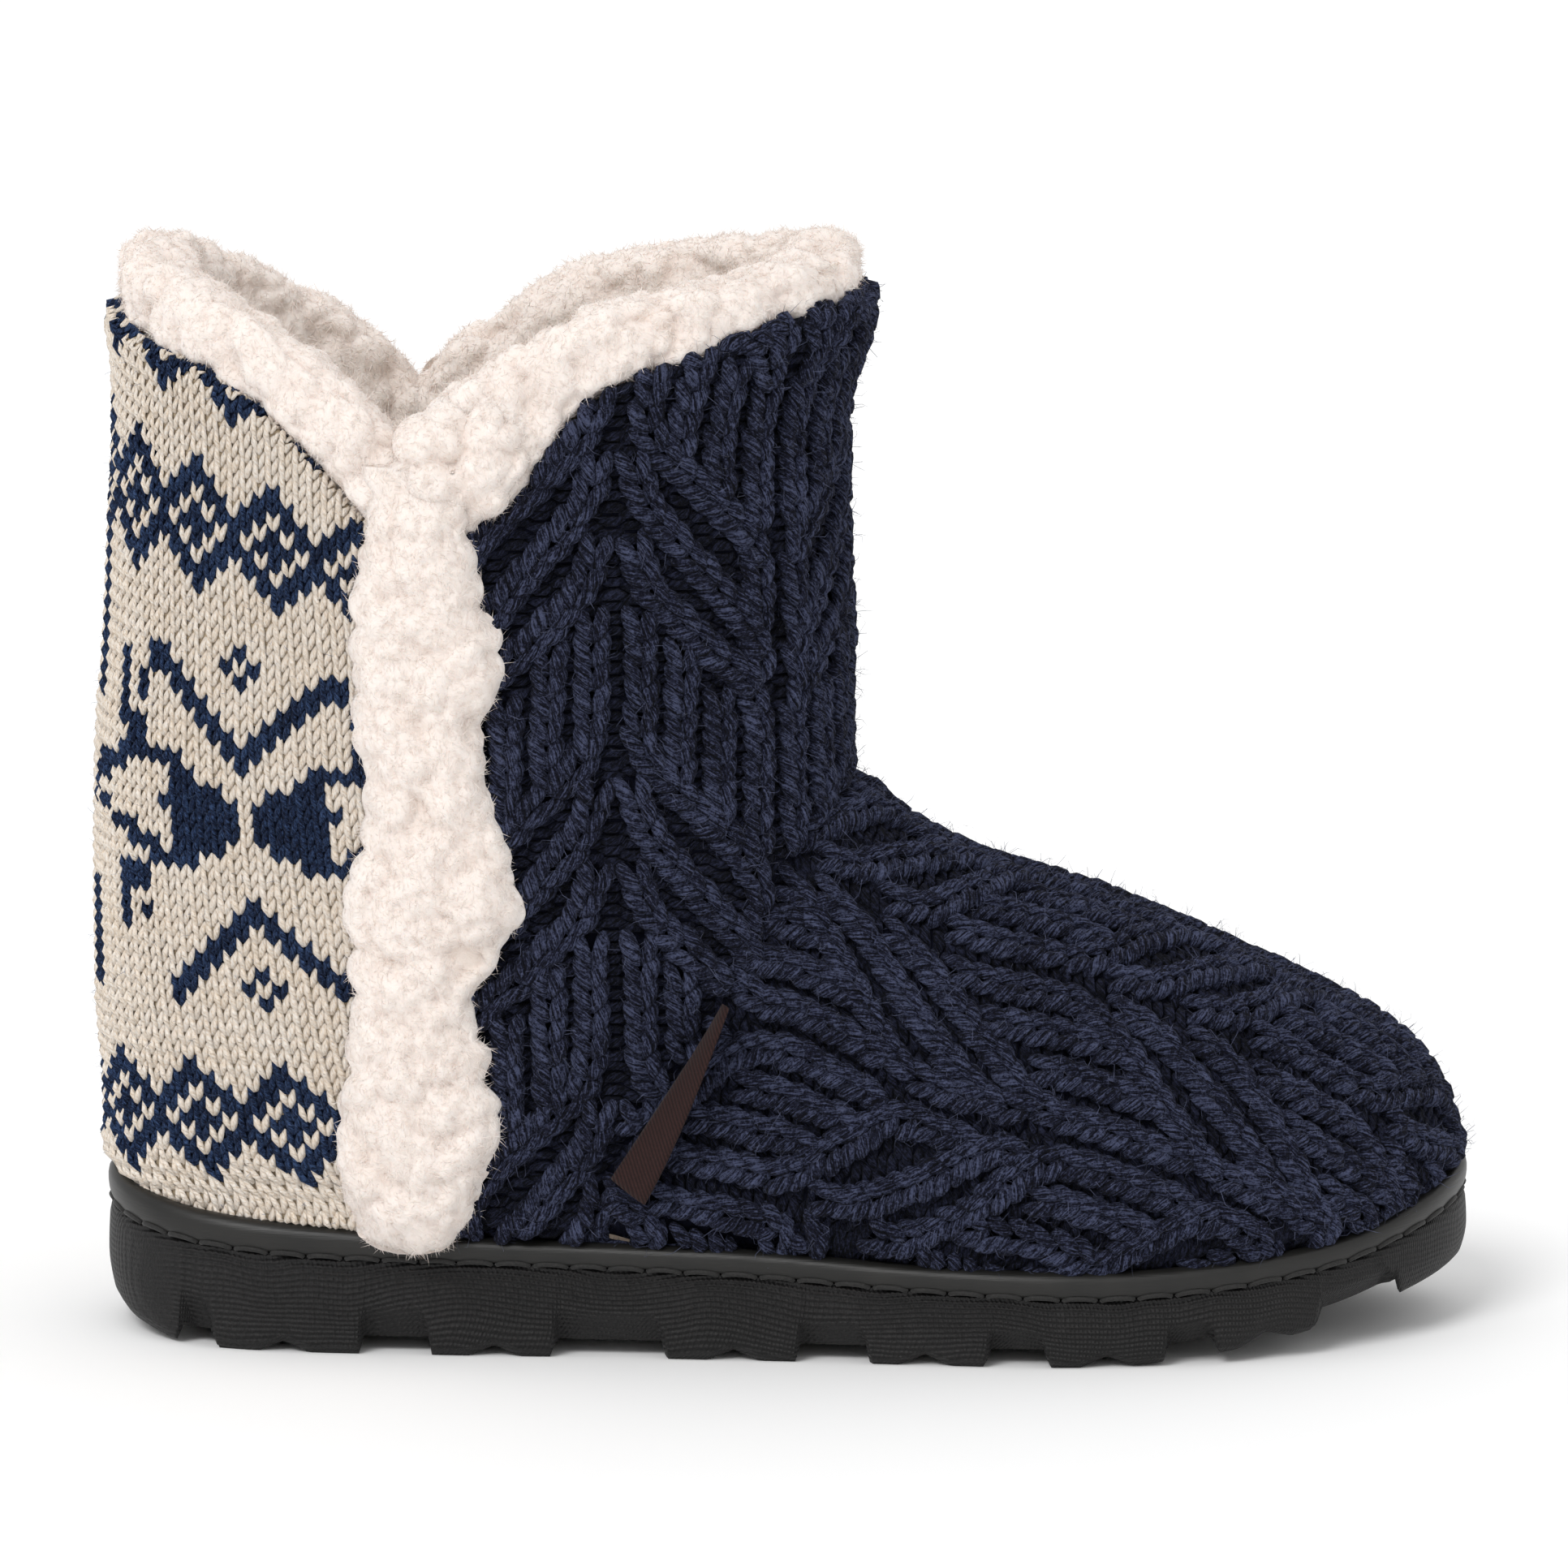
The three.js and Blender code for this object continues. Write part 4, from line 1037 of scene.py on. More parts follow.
def purl_tubes(place, spots):
    """The ground of the cable knit: short bars across it, bent up and down by turns."""
    count = len(spots)
    share = np.linspace(-0.5, 0.5, len(PURL["thick"]))
    bend = np.where(np.arange(count) % 2 == 0, 1, -1)[:, None] * PURL["rise"]
    s = spots[:, :1] + share * PURL["width"] * PURL["overlap"] + rng.normal(size=(count, 1)) * PURL["jitter"]
    t = spots[:, 1:] + bend * (4 * share**2 - 0.4) + rng.normal(size=(count, 1)) * PURL["jitter"]
    point, normal = place(s, t)
    height = PURL["height"] - PURL["droop"] * share**2 + rng.normal(size=(count, 1)) * 0.1 - seam_sink(point)
    thick = np.array(PURL["thick"]) * PURL["radius"] * (1 + rng.normal(size=(count, 1)) * 0.06)
    return tubes(point + normal * height[..., None], normal, thick, thick * PURL["flat"], PURL["sides"])


def purl_spots(cells, stitches):
    """Places for the bars of the ground: on the ladders, and where no rib covers them."""
    rungs = np.arange(PURL["from"], PURL["to"], PURL["pitch"])
    s, t = np.meshgrid(np.array(PURL["columns"]) * PURL["width"], rungs)
    t = t + 0.5 * PURL["pitch"] * (np.round(s / PURL["width"]) % 2)
    spots = np.stack([s, t], -1).reshape(-1, 2)
    spots = spots[np.abs(spots[:, 0]) < cells["reach"]]
    gap = np.concatenate([
        np.linalg.norm(part[:, None] - stitches, axis=-1).min(1) for part in np.array_split(spots, 40)
    ])
    return spots[gap > PURL["clear"]]


# How far the yarn, and the cloth below it, run under the strip and the rand, over the seam and up the edge
YARN_MARGIN = {"strip": 2.5, "rand": 2.5, "seam": 0.8, "top": 0.65}
GROUND_MARGIN = {"strip": 6, "rand": 5, "seam": 4.5, "top": 0.8}
GROUND = {"depth": 3.2, "wave": 0.25, "row": 4.8, "column": 3.5, "across": 2.4, "along": 1.4, "sink": 0.7}


def in_shaft(_, t, point, margin):
    top = knit_top(polar(point)[0], margin["top"])
    inside = ahead_of_strip(point, margin["strip"]) & above_rand(point, -margin["rand"])
    return inside & (SHAFT_TOP - t < top) & (past_seam(point) < margin["seam"])


def in_vamp(s, t, point, margin):
    end = np.interp(np.abs(s), np.arange(VAMP_REACH["across"] + 1.0), VAMP_END[VAMP_REACH["across"]:])
    inside = ahead_of_strip(point, margin["strip"]) & above_rand(point, -margin["rand"])
    return inside & (t < end - 0.5) & (past_seam(point) > -margin["seam"])


def ground_depth(s, t, point):
    across = 0.75 + 0.25 * np.cos(2 * np.pi * s / GROUND["column"])
    wave = GROUND["wave"] * np.cos(2 * np.pi * t / GROUND["row"]) * across
    return GROUND["depth"] - wave + seam_sink(point) * GROUND["sink"]


def make_cables(name, place, cells, reach, inside):
    """The ribs, the bars between them and the cloth below, on one sheet. The ribs come back."""

    def kept(at):
        point, _ = place(at[:, 0], at[:, 1])
        return inside(at[:, 0], at[:, 1], point, YARN_MARGIN)

    at, way = rib_stitches(cells)
    keep = kept(at)
    points, faces, yarn = rib_tubes(place, at[keep], way[keep])
    ribs = dress(add_mesh(name + "_ribs", points, faces, [navy_yarn], yarn=yarn), "knit", "upper")
    spots = purl_spots(cells, at)
    points, faces, yarn = purl_tubes(place, spots[kept(spots)])
    dress(add_mesh(name + "_purls", points, faces, [navy_purl_shaded], yarn=yarn), "knit", "upper")
    make_sheet(name + "_ground", place, np.arange(-reach, reach + 0.1, GROUND["across"]),
               np.arange(*cells["ground"], GROUND["along"]),
               lambda s, t, point: inside(s, t, point, GROUND_MARGIN), ground_depth, [navy_ground_shaded])
    return ribs


# Fleece
CURL = {
    "size": 8.5, "height": 2.6, "fine": 3.6, "fine_height": 1.3, "level": 0.6, "sway": 1.2, "sway_size": 9.0,
}


def curled(point, normal, share=1.0, size=CURL["size"], fine=1.0):
    """Fleece over a surface: curls of two sizes. Also gives how high on its curl each point is, which sets
    the fleece's painted crease shade.
    """
    swayed = point + drift(point, CURL["sway_size"])[..., None] * CURL["sway"]
    big = tufts(swayed, size, 1)
    small = tufts(swayed, CURL["fine"], 2)
    rise = (big - CURL["level"]) * CURL["height"] + (small - CURL["level"]) * CURL["fine_height"] * fine
    level = np.clip(0.7 * big + 0.3 * small, 0, 1)
    return point + normal * (rise * share)[..., None], level


def as_yarn(level):
    """Yarn coordinates for fleece, which only uses the first one."""
    return np.stack([level, np.zeros_like(level), np.zeros_like(level)], -1)


def fleece_piece(name, points, faces, levels, node):
    """A closed, padded piece of fleece; its levels say how high on its curl each point is."""
    yarn = as_yarn(np.concatenate(levels))
    piece = dress(add_mesh(name, points, outward(points, faces), [fleece], yarn=yarn), "fleece", node)
    return piece


def level_frame(angle, z):
    """The surface at an angle and height, and the level direction straight out of it."""
    turn = 0.02
    point, _ = upper_surface(angle, z)
    around = upper_surface(angle + turn, z)[0] - upper_surface(angle - turn, z)[0]
    return point, unit(np.stack([around[..., 1], -around[..., 0], np.zeros_like(around[..., 0])], -1))


# The rolls narrow over the last stations of each end, and their undersides are nearly smooth.
ROLL = {
    "width": 14.0, "square": 0.6, "seat": -1.0, "tuck": 1.8, "top": 209.0, "around": 84, "tail": 16,
    "under": 0.18, "smooth": 0.25,
}


def squared(wave):
    """A sine or cosine wave that gives a rounded square instead of a circle."""
    return np.sign(wave) * np.abs(wave) ** ROLL["square"]


def make_roll(name, from_angle, to_angle, stations, node):
    angle = np.radians(np.linspace(from_angle, to_angle, stations))
    degrees = degrees_from_toe(angle)
    low = knit_edge(angle) + ROLL["seat"] - ROLL["tuck"] * set_back(angle)
    high = crest_table(degrees)
    turn = turns(ROLL["around"])
    side, rise = squared(np.cos(turn)), 0.5 + 0.5 * squared(np.sin(turn))
    seat, level = level_frame(angle, np.minimum(low, ROLL["top"]))
    from_end = np.minimum(np.arange(stations), np.arange(stations)[::-1])
    tail = np.sqrt(np.clip(from_end / ROLL["tail"], 0, 1))[:, None]
    half = ROLL["width"] / 2
    out = roll_out_table(degrees)[:, None] - half + side * half * (0.35 + 0.65 * tail)
    point = seat[:, None] + level[:, None] * out[..., None]
    point[..., 2] = low[:, None] + (high - low)[:, None] * (0.5 + (rise - 0.5) * (0.5 + 0.5 * tail))
    normal = unit(np.cross(np.roll(point, -1, 1) - np.roll(point, 1, 1), np.gradient(point, axis=0)))
    normal *= np.sign(np.sum(normal[:, :1] * level[:, None], -1, keepdims=True))
    under = ramp(rise, 0.0, ROLL["under"])[None, :] * (1 - ROLL["smooth"]) + ROLL["smooth"]
    point, curl = curled(point, normal, under * (0.4 + 0.6 * tail))
    points = np.concatenate([point.reshape(-1, 3), point[:1].mean(1), point[-1:].mean(1)])
    faces = [grid_faces(*curl.shape, col_loop=True)[:, ::-1], end_fans(*curl.shape)]
    return fleece_piece(name, points, faces, [curl.ravel(), [0.5, 0.5]], node)


# Where the rolls meet over each side strip, the front roll ends in a lobed clump.
CLUMP = {
    "x": -63.5, "z": 177.5, "half_x": 13.5, "half_z": 13.0, "depth": 7.0, "sink": 2.6, "top": 190.0,
    "around": 150, "rings": 30, "first": 0.02, "lobes": 7.5, "swing": 4.2, "lean": 0.25, "curl": 7.6,
    "relief": 1.7, "fine": 0.4, "out": 40.0,
}


def make_clump(name, side):
    turn = turns(CLUMP["around"])
    share = np.linspace(CLUMP["first"], 1, CLUMP["rings"])[:, None]
    across, up = np.cos(turn), np.sin(turn)
    out = np.full(turn.shape, side * CLUMP["out"])
    rim = np.stack([across * CLUMP["half_x"], out, up * CLUMP["half_z"]], -1)
    lobe = (tufts(rim, CLUMP["lobes"], 4) - 0.5) * CLUMP["swing"]
    lean = CLUMP["lean"] * up * CLUMP["half_z"] * share
    x = CLUMP["x"] + share * across * (CLUMP["half_x"] + lobe) + lean
    z = CLUMP["z"] + share * up * (CLUMP["half_z"] + lobe)
    level_z = np.minimum(z, CLUMP["top"])
    seat, normal = upper_surface(side_angle(x, level_z, side), level_z)
    seat[..., 2] = z
    dome = np.sqrt(np.clip(1 - share**3.2, 0, 1))[..., None]
    front = seat + normal * (CLUMP["depth"] * dome - CLUMP["sink"])
    rounded = CLUMP["relief"] * np.sqrt(np.clip(1 - share**6, 0, 1))
    front, level = curled(front, normal, rounded, CLUMP["curl"], CLUMP["fine"])
    back = seat[-1:] - normal[-1:] * CLUMP["sink"] * 1.6
    rings = np.concatenate([front, back])
    points = np.concatenate([rings.reshape(-1, 3), front[:1].mean(1), back.mean(1)])
    levels = [level.ravel(), np.zeros(CLUMP["around"]), [0.8, 0]]
    size = rings.shape[:2]
    faces = [grid_faces(*size, col_loop=True), end_fans(*size)[:, ::-1]]
    return fleece_piece(name, points, faces, levels, "collar_roll_front")


STRIP_FORM = {
    "thickness": 5.3, "seat": 0.45, "lip": 0.4, "across": 46, "levels": 210, "low": 20.8, "high": 178.0,
    "round": 8.0, "lobes": 5.4, "swing": 2.5, "beside_rand": 0.4,
}
SIDE_HALVINGS = 20


def side_angle(x, z, side):
    """The angle at which one side of the upper passes x at a height."""
    toe, heel = np.full(x.shape, np.radians(1)), np.full(x.shape, np.radians(179))
    for _ in range(SIDE_HALVINGS):
        middle = (toe + heel) / 2
        ahead = LEG_AXIS_X + reach(side * middle, z) * np.cos(middle) > x
        toe, heel = np.where(ahead, middle, toe), np.where(ahead, heel, middle)
    return side * toe


def make_strip(name, side, node):
    form = STRIP_FORM
    z = np.linspace(form["low"], form["high"], form["levels"])[:, None]
    e = np.linspace(-1, 1, form["across"])[None, :]
    near_end = (z - form["low"]) / form["round"]
    narrow = 0.3 + 0.7 * np.sqrt(1 - (1 - np.clip(near_end, 0, 1)) ** 2)
    x = strip_back(z) + (strip_front(z) - strip_back(z)) * (0.5 + 0.5 * e * narrow)
    z = np.broadcast_to(z, x.shape)
    point, normal = upper_surface(side_angle(x, z, side), z)
    share = (z - form["low"]) / (form["high"] - form["low"])
    ends = np.sqrt(np.clip(14 * np.minimum(share, 1 - share) + 0.1, 0, 1))
    edge_curl = tufts(np.stack([point[..., 0] * 0.3, point[..., 1] * 0.3, z], -1), form["lobes"], 3) - 0.5
    x = x + np.sign(e) * np.abs(e) ** 4 * edge_curl * form["swing"]
    point, normal = upper_surface(side_angle(x, z, side), z)
    full = ends * (1 - np.abs(e) ** 3)
    rim = np.sqrt(np.clip(1 - np.abs(e) ** 6, 0, 1))
    front = point + normal * (form["seat"] + form["thickness"] * full + form["lip"] * rim)[..., None]
    front, curl = curled(front, normal, (0.4 + 0.6 * rim) * (0.3 + 0.7 * ends))
    low = rand_height(x) + 1.0
    clear = np.where(z < low, 1.0, 0.0) * ramp(low - z, 0, 1.5)
    back = point + normal * form["beside_rand"]
    outline = plan_half(x) * plan_share(x, HALF_LENGTH) + form["beside_rand"]
    for face in (front, back):
        width = np.abs(face[..., 1] - plan_centre(x))
        face[..., 1] += side * np.maximum(outline - width, 0) * clear
    index = np.arange(x.size).reshape(x.shape)
    around = np.concatenate([index[0], index[1:, -1], index[-1, -2::-1], index[-2:0:-1, 0]])
    faces = slab_faces(grid_faces(*x.shape), x.size, around)
    points = np.concatenate([front.reshape(-1, 3), back.reshape(-1, 3)])
    return fleece_piece(name, points, faces, [curl.ravel(), np.zeros(x.size)], node)


LINING = {"around": 240, "rows": 78, "foot": 22.0, "above": 6.0, "notch": 9.0, "notch_half": 14, "top": 207.0}


def make_lining():
    """The fleece inside the upper, down to the footbed."""
    angle = np.linspace(-np.pi, np.pi, LINING["around"] + 1)[:-1, None]
    share = np.linspace(0, 1, LINING["rows"]) ** 1.7
    at_notch = np.clip(1 - np.abs(degrees_from_toe(angle) - NOTCH_ANGLE) / LINING["notch_half"], 0, 1)
    top = knit_edge(angle) + LINING["above"] + LINING["notch"] * at_notch
    z = top + (LINING["foot"] - top) * share
    point, normal = upper_surface(angle, np.minimum(z, LINING["top"]))
    point[..., 2] = z
    inner = point - normal * (WALL + 0.6)
    inner[..., 2] = np.maximum(inner[..., 2], groove_height(inner[..., 0]) + 1.0)
    inner, curl = curled(inner, -normal, 0.8)
    faces = grid_faces(*z.shape, row_loop=True)
    piece = add_mesh("lining", inner.reshape(-1, 3), [faces], [lining_fleece_lit], yarn=as_yarn(curl.ravel()))
    dress(piece, "fleece", "upper")


INSOLE = {"inset": 9.4, "thickness": 5.0, "around": 180, "rings": 26, "heel": 42, "toe": 46, "droop": 1.4}


def make_insole():
    """A fleece footbed: rings from its rim inwards to its middle line."""
    turn = turns(INSOLE["around"])
    share = np.linspace(0, 1, INSOLE["rings"])
    x, y = sole_outline(turn, -INSOLE["inset"])
    spine_x = np.clip(x, -HALF_LENGTH + INSOLE["heel"], HALF_LENGTH - INSOLE["toe"])
    px = x[:, None] + (spine_x - x)[:, None] * share
    py = y[:, None] + (plan_centre(spine_x) - y)[:, None] * share
    top = groove_height(px) + INSOLE["thickness"] - INSOLE["droop"] * (1 - share) ** 6
    point = np.stack([px, py, top], -1)
    above, curl = curled(point, np.array([0, 0, 1.0]), 0.7)
    under = np.stack([px, py, groove_height(px) + 0.35], -1)
    faces = slab_faces(grid_faces(*px.shape, row_loop=True), px.size, np.arange(len(x)) * INSOLE["rings"])
    points = np.concatenate([above.reshape(-1, 3), under.reshape(-1, 3)])
    return fleece_piece("insole_fleece", points, faces, [curl.ravel(), np.zeros(px.size)], "insole")


# Sole. Its wall draws in towards the tread, but the blocks keep the full outline nearly down to the floor.
FULL_WALL = {"share": [0, 0.1, 0.45, 0.85, 1], "out": [-2.6, -1, 0, -0.3, -1.2]}
CORE_WALL = {"share": [0, 0.2, 0.5, 0.8, 1], "out": [-4.6, -2.6, -0.25, -0.4, -1.2]}
BLOCKS = {
    "from": [-150, -113, -70, -24, 16, 51, 84, 120],
    "to": [-119, -83, -45, 3, 40, 75, 105, 150],
    "notch": [-98.5, -57, -10, 27.5, 63, 94],
}
BLOCK_SLANT = {"front": 1.0, "back": 3.4, "soft": 0.7, "top": 0.62}
NOTCH = {"half": 5.2, "depth": 2.2}
CHANNEL = {"from": -78, "to": 108, "half": 4.5, "depth": 2.6}
OUTSOLE = {"step": 0.8, "wall": 15, "bottom": 18}


def block_share(x, share):
    """1 on a block of the tread, 0 between two, at x and at a share of the wall's height."""
    up = np.clip(share / BLOCK_SLANT["top"], 0, 1)
    inside = np.zeros(x.shape)
    for start, end in zip(BLOCKS["from"], BLOCKS["to"]):
        ahead = x - (start - BLOCK_SLANT["back"] * up)
        behind = end + BLOCK_SLANT["front"] * up - x
        inside = np.maximum(inside, ramp(np.minimum(ahead, behind) / BLOCK_SLANT["soft"], 0, 1))
    return inside


def tread_bottom(x):
    """The height of the sole's underside: blocks on the tread, and the gaps and notches between them."""
    bottom = tread_height(x) + TREAD_DEPTH * (1 - block_share(x, np.zeros(x.shape)))
    for notch in BLOCKS["notch"]:
        bottom += NOTCH["depth"] * np.clip(1 - np.abs(x - notch) / NOTCH["half"], 0, None)
    return bottom


def outline_run(last_turn, out):
    """Fine steps round the sole's outline, and how far along it each one is."""
    turn = np.linspace(0, last_turn, 4001)
    x, y = sole_outline(turn, out)
    return turn, run_of(np.hypot(np.diff(x), np.diff(y)))


def closed_loops(name, loops, material, slot, node, row_loop=False):
    """A closed piece from loops of points, in a ring or with flat loops at its ends."""
    points = loops.reshape(-1, 3)
    faces = grid_faces(*loops.shape[:2], row_loop, col_loop=True)
    return dress(add_mesh(name, points, outward(points, [faces]), [material]), slot, node)


def make_outsole():
    turn, run = outline_run(np.pi, 0)
    turn = np.interp(np.linspace(0, run[-1], round(run[-1] / OUTSOLE["step"])), run, turn)[:, None]
    share = np.linspace(0, 1, OUTSOLE["wall"])[None, :] ** 1.2
    full, core = column(FULL_WALL, "share", "out")(share), column(CORE_WALL, "share", "out")(share)
    walls = []
    for side in (1, -1):
        x, _ = sole_outline(side * turn, 0)
        x, y = sole_outline(side * turn, core + (full - core) * block_share(x, share))
        bottom = tread_bottom(x)
        walls.append(np.stack([x, y, bottom + (groove_height(x) - bottom) * share], -1))
    across = np.linspace(0, 1, OUTSOLE["bottom"])[None, :, None]
    under = walls[1][:, :1] + (walls[0][:, :1] - walls[1][:, :1]) * across
    channel = ramp((CHANNEL["half"] - np.abs(under[..., 1])) / 0.8, -0.5, 0.5)
    under_x = under[..., 0]
    channel *= ramp(under_x, CHANNEL["from"], CHANNEL["from"] + 1)
    channel *= ramp(-under_x, -CHANNEL["to"], 1 - CHANNEL["to"])
    under[..., 2] = np.maximum(tread_bottom(under_x), tread_height(under_x) + CHANNEL["depth"] * channel)
    top = walls[0][:, -1:] + (walls[1][:, -1:] - walls[0][:, -1:]) * across[:, ::4]
    loop = np.concatenate([walls[0][:, :-1], top[:, :-1], walls[1][:, :0:-1], under[:, :-1]], 1)
    closed_loops("outsole_moulded", loop, outsole_rubber, "outsole_rubber", "outsole")


RAND_PROFILE = {
    "share": [0, 0, 0.04, 0.12, 0.25, 0.42, 0.6, 0.76, 0.88, 0.96, 1.0, 1.0],
    "out": [-3, -1.2, -0.8, -0.45, -0.15, 0, 0, -0.2, -0.7, -1.4, -2.2, -3],
}


def make_rand():
    turn = np.linspace(0, 2 * np.pi, 481)[:-1]
    share, out = np.array(RAND_PROFILE["share"]), np.array(RAND_PROFILE["out"])
    x, y = sole_outline(turn[:, None], out[None, :])
    low = groove_height(x) + 0.3
    point = np.stack([x, y, low + (rand_height(x) - low) * share], -1)
    closed_loops("rand_strip", point, rand_wrap, "rand_wrap", "rand", row_loop=True)


GROOVE_STITCH = {"pitch": 7.4, "length": 6.4, "radius": 0.55, "out": -0.75, "rings": 7}


def make_groove_stitches():
    turn, run = outline_run(2 * np.pi, GROOVE_STITCH["out"])
    count = round(run[-1] / GROOVE_STITCH["pitch"])
    share = np.linspace(-0.5, 0.5, GROOVE_STITCH["rings"])
    along = (np.arange(count)[:, None] + 0.5) * run[-1] / count + share * GROOVE_STITCH["length"]
    at = np.interp(along % run[-1], run, turn)
    px, py = sole_outline(at, GROOVE_STITCH["out"])
    bow = 1 - (2 * np.abs(share)) ** 3
    pz = groove_height(px) + 0.1 + 0.45 * bow
    ox, oy = sole_outline(at, GROOVE_STITCH["out"] + 1)
    normal = unit(np.stack([ox - px, oy - py, np.zeros_like(px)], -1))
    centre = np.stack([px, py, pz], -1) + normal * (0.5 * bow - 0.35)[..., None]
    thick = np.full(px.shape, GROOVE_STITCH["radius"])
    points, faces, yarn = tubes(centre, normal, thick, thick, 6)
    piece = add_mesh("groove_stitches", points, faces, [thread_black], yarn=yarn)
    dress(piece, "rand_wrap")


LABEL = {
    "top": (-11.6, 71), "foot": (-33.8, 37), "width": 8.6, "thickness": 1.1, "turn": (-6, 68),
    "steps": 30, "across": 10, "bow": 0.5, "proud": 0.4,
}


def make_label():
    """A blank ribbon, folded double, caught in the seam and turned over towards the vamp."""
    across = LABEL["across"]
    t = np.linspace(0, 1, LABEL["steps"])
    (x0, z0), (x1, z1) = LABEL["top"], LABEL["foot"]
    x, z = x0 + (x1 - x0) * t, z0 + (z1 - z0) * t
    seat, normal = upper_surface(side_angle(x, z, -1), z)
    seat = seat + normal * LABEL["proud"]
    along = unit(np.array([x1 - x0, 0, z1 - z0], float))
    right = unit(np.cross(normal, along))
    turn = np.radians(LABEL["turn"][0] + (LABEL["turn"][1] - LABEL["turn"][0]) * t)[:, None]
    wide = normal * np.cos(turn) + right * np.sin(turn)
    thick = unit(np.cross(along, wide))
    w = np.linspace(0, 1, across)
    bow = np.sin(np.pi * w) * LABEL["bow"]
    middle = seat[:, None] + wide[:, None] * (w * LABEL["width"])[:, None]
    middle += thick[:, None] * bow[:, None]
    half = LABEL["thickness"] / 2 * np.sqrt(np.clip(1 - np.abs(2 * w - 1) ** 5, 0.15, 1))[:, None]
    loop = np.concatenate([middle + thick[:, None] * half, (middle - thick[:, None] * half)[:, ::-1]], 1)
    points = loop.reshape(-1, 3)
    k = np.arange(across - 1)
    cap = np.stack([k, k + 1, 2 * across - 2 - k, 2 * across - 1 - k], 1)
    faces = [grid_faces(*loop.shape[:2], col_loop=True), cap, cap[:, ::-1] + len(points) - 2 * across]
    piece = add_mesh("label_tab_ribbon", points, outward(points, [np.concatenate(faces)]), [label_ribbon])
    dress(piece, "label_ribbon", "label_tab")


FIBRE_LIFT = 0.7


def crossed(corner):
    """Across each triangle's face, as long as twice its area."""
    return np.cross(corner[:, 1] - corner[:, 0], corner[:, 2] - corner[:, 0])


def hairy_triangles(piece):
    """The corners of a piece's triangles in millimetres, without those whose yarn coordinates start at 0."""
    mesh = piece.data
    mesh.calc_loop_triangles()
    at = np.empty(len(mesh.vertices) * 3, np.float32)
    mesh.vertices.foreach_get("co", at)
    level = np.empty(len(at), np.float32)
    mesh.attributes["yarn"].data.foreach_get("vector", level)
    tris = np.empty(len(mesh.loop_triangles) * 3, np.int32)
    mesh.loop_triangles.foreach_get("vertices", tris)
    tris = tris.reshape(-1, 3)
    tris = tris[(level[::3][tris] > 0).all(1)]
    return at.reshape(-1, 3)[tris].astype(float) / MM


def make_fibres(name, pieces, count, length, width, steps, material, slot, *nodes):
    """Loose hairs that stand up from the yarn or the fleece, as narrow ribbons in one mesh."""
    corners = np.concatenate([hairy_triangles(piece) for piece in pieces])
    shares = np.linalg.norm(crossed(corners), axis=1)
    corner = corners[rng.choice(len(corners), count, p=shares / shares.sum())]
    mix = rng.dirichlet((1, 1, 1), count)[..., None]
    root = (corner * mix).sum(1)
    normal = unit(crossed(corner))
    around = unit(np.cross(normal, rng.normal(size=(count, 3))))
    curl = unit(np.cross(normal, around) + rng.normal(size=(count, 3)) * 0.3)
    size = length * (0.5 + rng.random((count, 1, 1)))
    u = np.linspace(0, 1, steps)[None, :, None]
    lift = normal[:, None] * FIBRE_LIFT * np.sin(u * 2.2)
    path = root[:, None] + size * (around[:, None] * u + lift + curl[:, None] * 0.5 * u**2)
    side = unit(np.cross(np.gradient(path, axis=1), normal[:, None] + rng.normal(size=(count, 1, 3)) * 0.6))
    half = width / 2 * (1 - 0.6 * u)
    pairs = np.stack([path - side * half, path + side * half], 2)
    points = pairs.reshape(count, -1, 3)[:, :-1].reshape(-1, 3)
    size = 2 * steps - 1
    strip = np.array([[k, k + 1, k + 2] if k % 2 == 0 else [k + 1, k, k + 2] for k in range(size - 2)])
    faces = (strip + (np.arange(count) * size)[:, None, None]).reshape(-1, 3)
    yarn = np.zeros((count, size, 3))
    # Fleece hairs take a level of 0.9, near the top of a curl, so the fleece's painted crease shade leaves
    # them light.
    yarn[..., 0], yarn[..., 2] = 0.9, rng.random((count, 1))
    dress(add_mesh(name, points, [faces], [material], yarn=yarn.reshape(-1, 3)), slot, *nodes)


# Floor, light and camera
FLOOR_HALF = 6000.0
WORLD_LIGHT = 0.82


def make_floor():
    t = Tree("floor", 0.85, 0.1)
    t.colour(t.noise(t.place(), 3.0, 2.0), {0.3: (252, 252, 252), 0.7: (254, 254, 254)})
    corners = np.array([[-1, -1, 0], [1, -1, 0], [1, 1, 0], [-1, 1, 0]]) * FLOOR_HALF
    floor = add_mesh("floor", corners, [np.array([[0, 1, 2, 3]])], [t.material], smooth=False)


def add_sun(name, direction, strength, softness):
    light = bpy.data.lights.new(name, "SUN")
    light.energy, light.angle = strength, math.radians(softness)
    lamp = bpy.data.objects.new(name, light)
    bpy.context.scene.collection.objects.link(lamp)
    lamp.rotation_euler = Vector(direction).to_track_quat("-Z", "Y").to_euler()


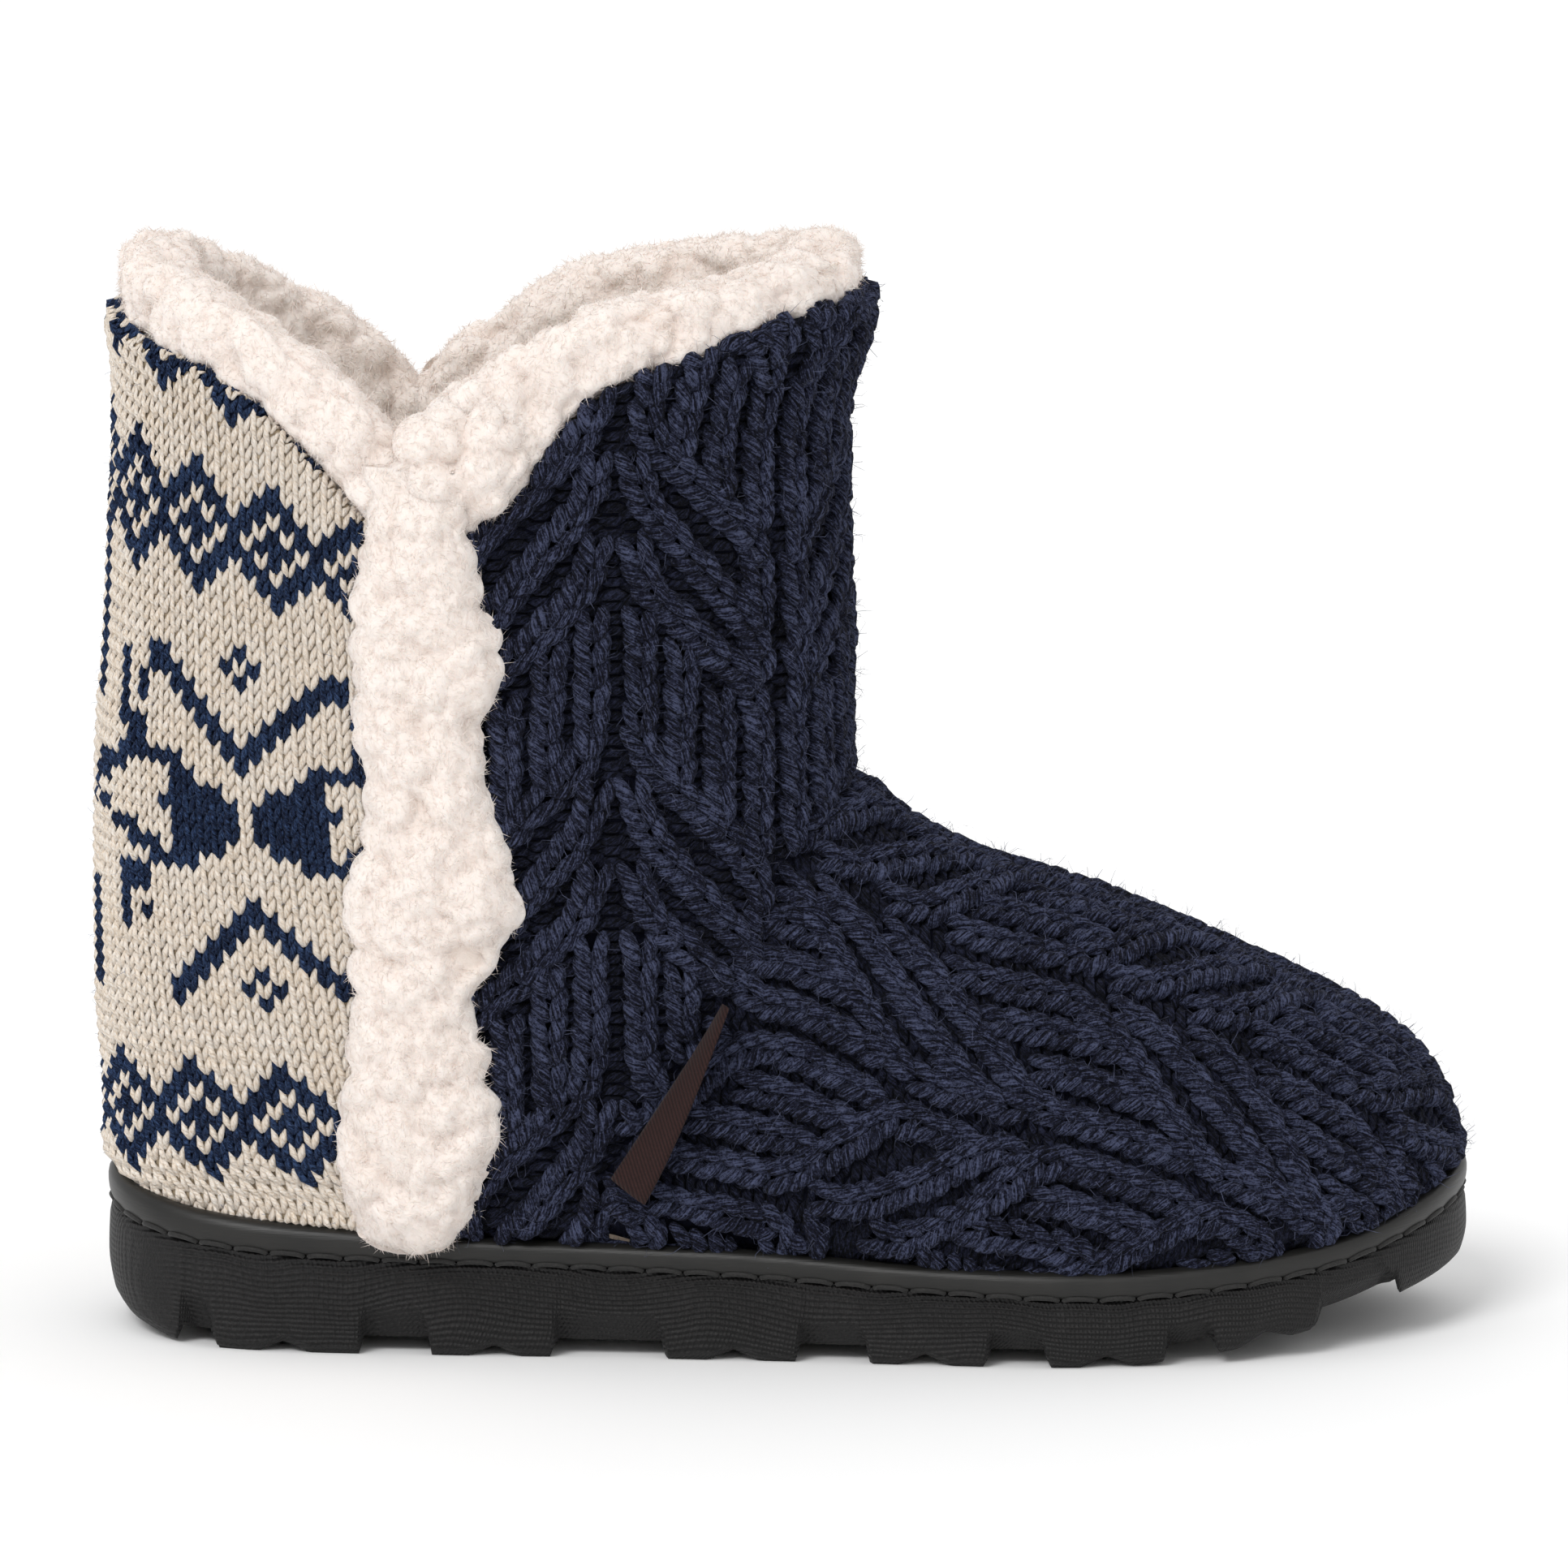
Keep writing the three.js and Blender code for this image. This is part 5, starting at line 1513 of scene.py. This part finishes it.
def make_world():
    world = bpy.data.worlds.new("studio")
    world.use_nodes = True
    background = world.node_tree.nodes["Background"].inputs
    background["Color"].default_value = (1, 1, 1, 1)
    background["Strength"].default_value = WORLD_LIGHT
    bpy.context.scene.world = world
    bpy.context.scene.view_settings.view_transform = "Standard"


CAMERA = {"azimuth": 1.0, "elevation": 10.5, "distance": 2.3, "aim": (0, 0, 0.1), "lens": 267.4,
          "shift": (-0.0026, 0.0245)}


def make_camera():
    camera = bpy.data.cameras.new("camera")
    camera.lens, camera.sensor_width = CAMERA["lens"], 36.0
    camera.shift_x, camera.shift_y = CAMERA["shift"]
    camera.clip_end = 30
    rig = bpy.data.objects.new("camera", camera)
    bpy.context.scene.collection.objects.link(rig)
    a, e = math.radians(CAMERA["azimuth"]), math.radians(CAMERA["elevation"])
    back = Vector((math.sin(a) * math.cos(e), -math.cos(a) * math.cos(e), math.sin(e)))
    rig.location = Vector(CAMERA["aim"]) + back * CAMERA["distance"]
    rig.rotation_euler = (-back).to_track_quat("-Z", "Y").to_euler()
    bpy.context.scene.camera = rig


# The boot, in an order that the random draws follow
back = make_back()
make_back_ground()
leg_ribs = make_cables("knit_shaft", shaft_place, SHAFT_CELLS, SHAFT_CELLS["reach"], in_shaft)
vamp_ribs = make_cables("knit_vamp", place_vamp, VAMP_CELLS, VAMP_REACH["across"], in_vamp)
make_lining()
furry = [
    make_roll("collar_fleece_front", -113, 113, 400, "collar_roll_front"),
    make_roll("collar_fleece_back", 107.5, 252.5, 260, "collar_roll_back"),
    make_strip("strip_fleece_outer", -1, "side_strip_outer"),
    make_strip("strip_fleece_inner", 1, "side_strip_inner"),
    make_clump("clump_outer", -1),
    make_clump("clump_inner", 1),
]
make_insole()
make_outsole()
make_rand()
make_groove_stitches()
make_label()
make_fibres("wool_hairs", [leg_ribs, vamp_ribs], 13000, 2.4, 0.1, 3, navy_hair, "knit", "upper")
make_fibres("back_hairs", [back], 3000, 1.5, 0.07, 3, blue_hair, "knit", "upper")
make_fibres("fleece_hairs", furry, 60000, 1.5, 0.16, 2, fleece, "fleece")

make_floor()
make_world()
make_camera()
add_sun("key", (0.8, 1.6, -1.7), 1.4, 24)
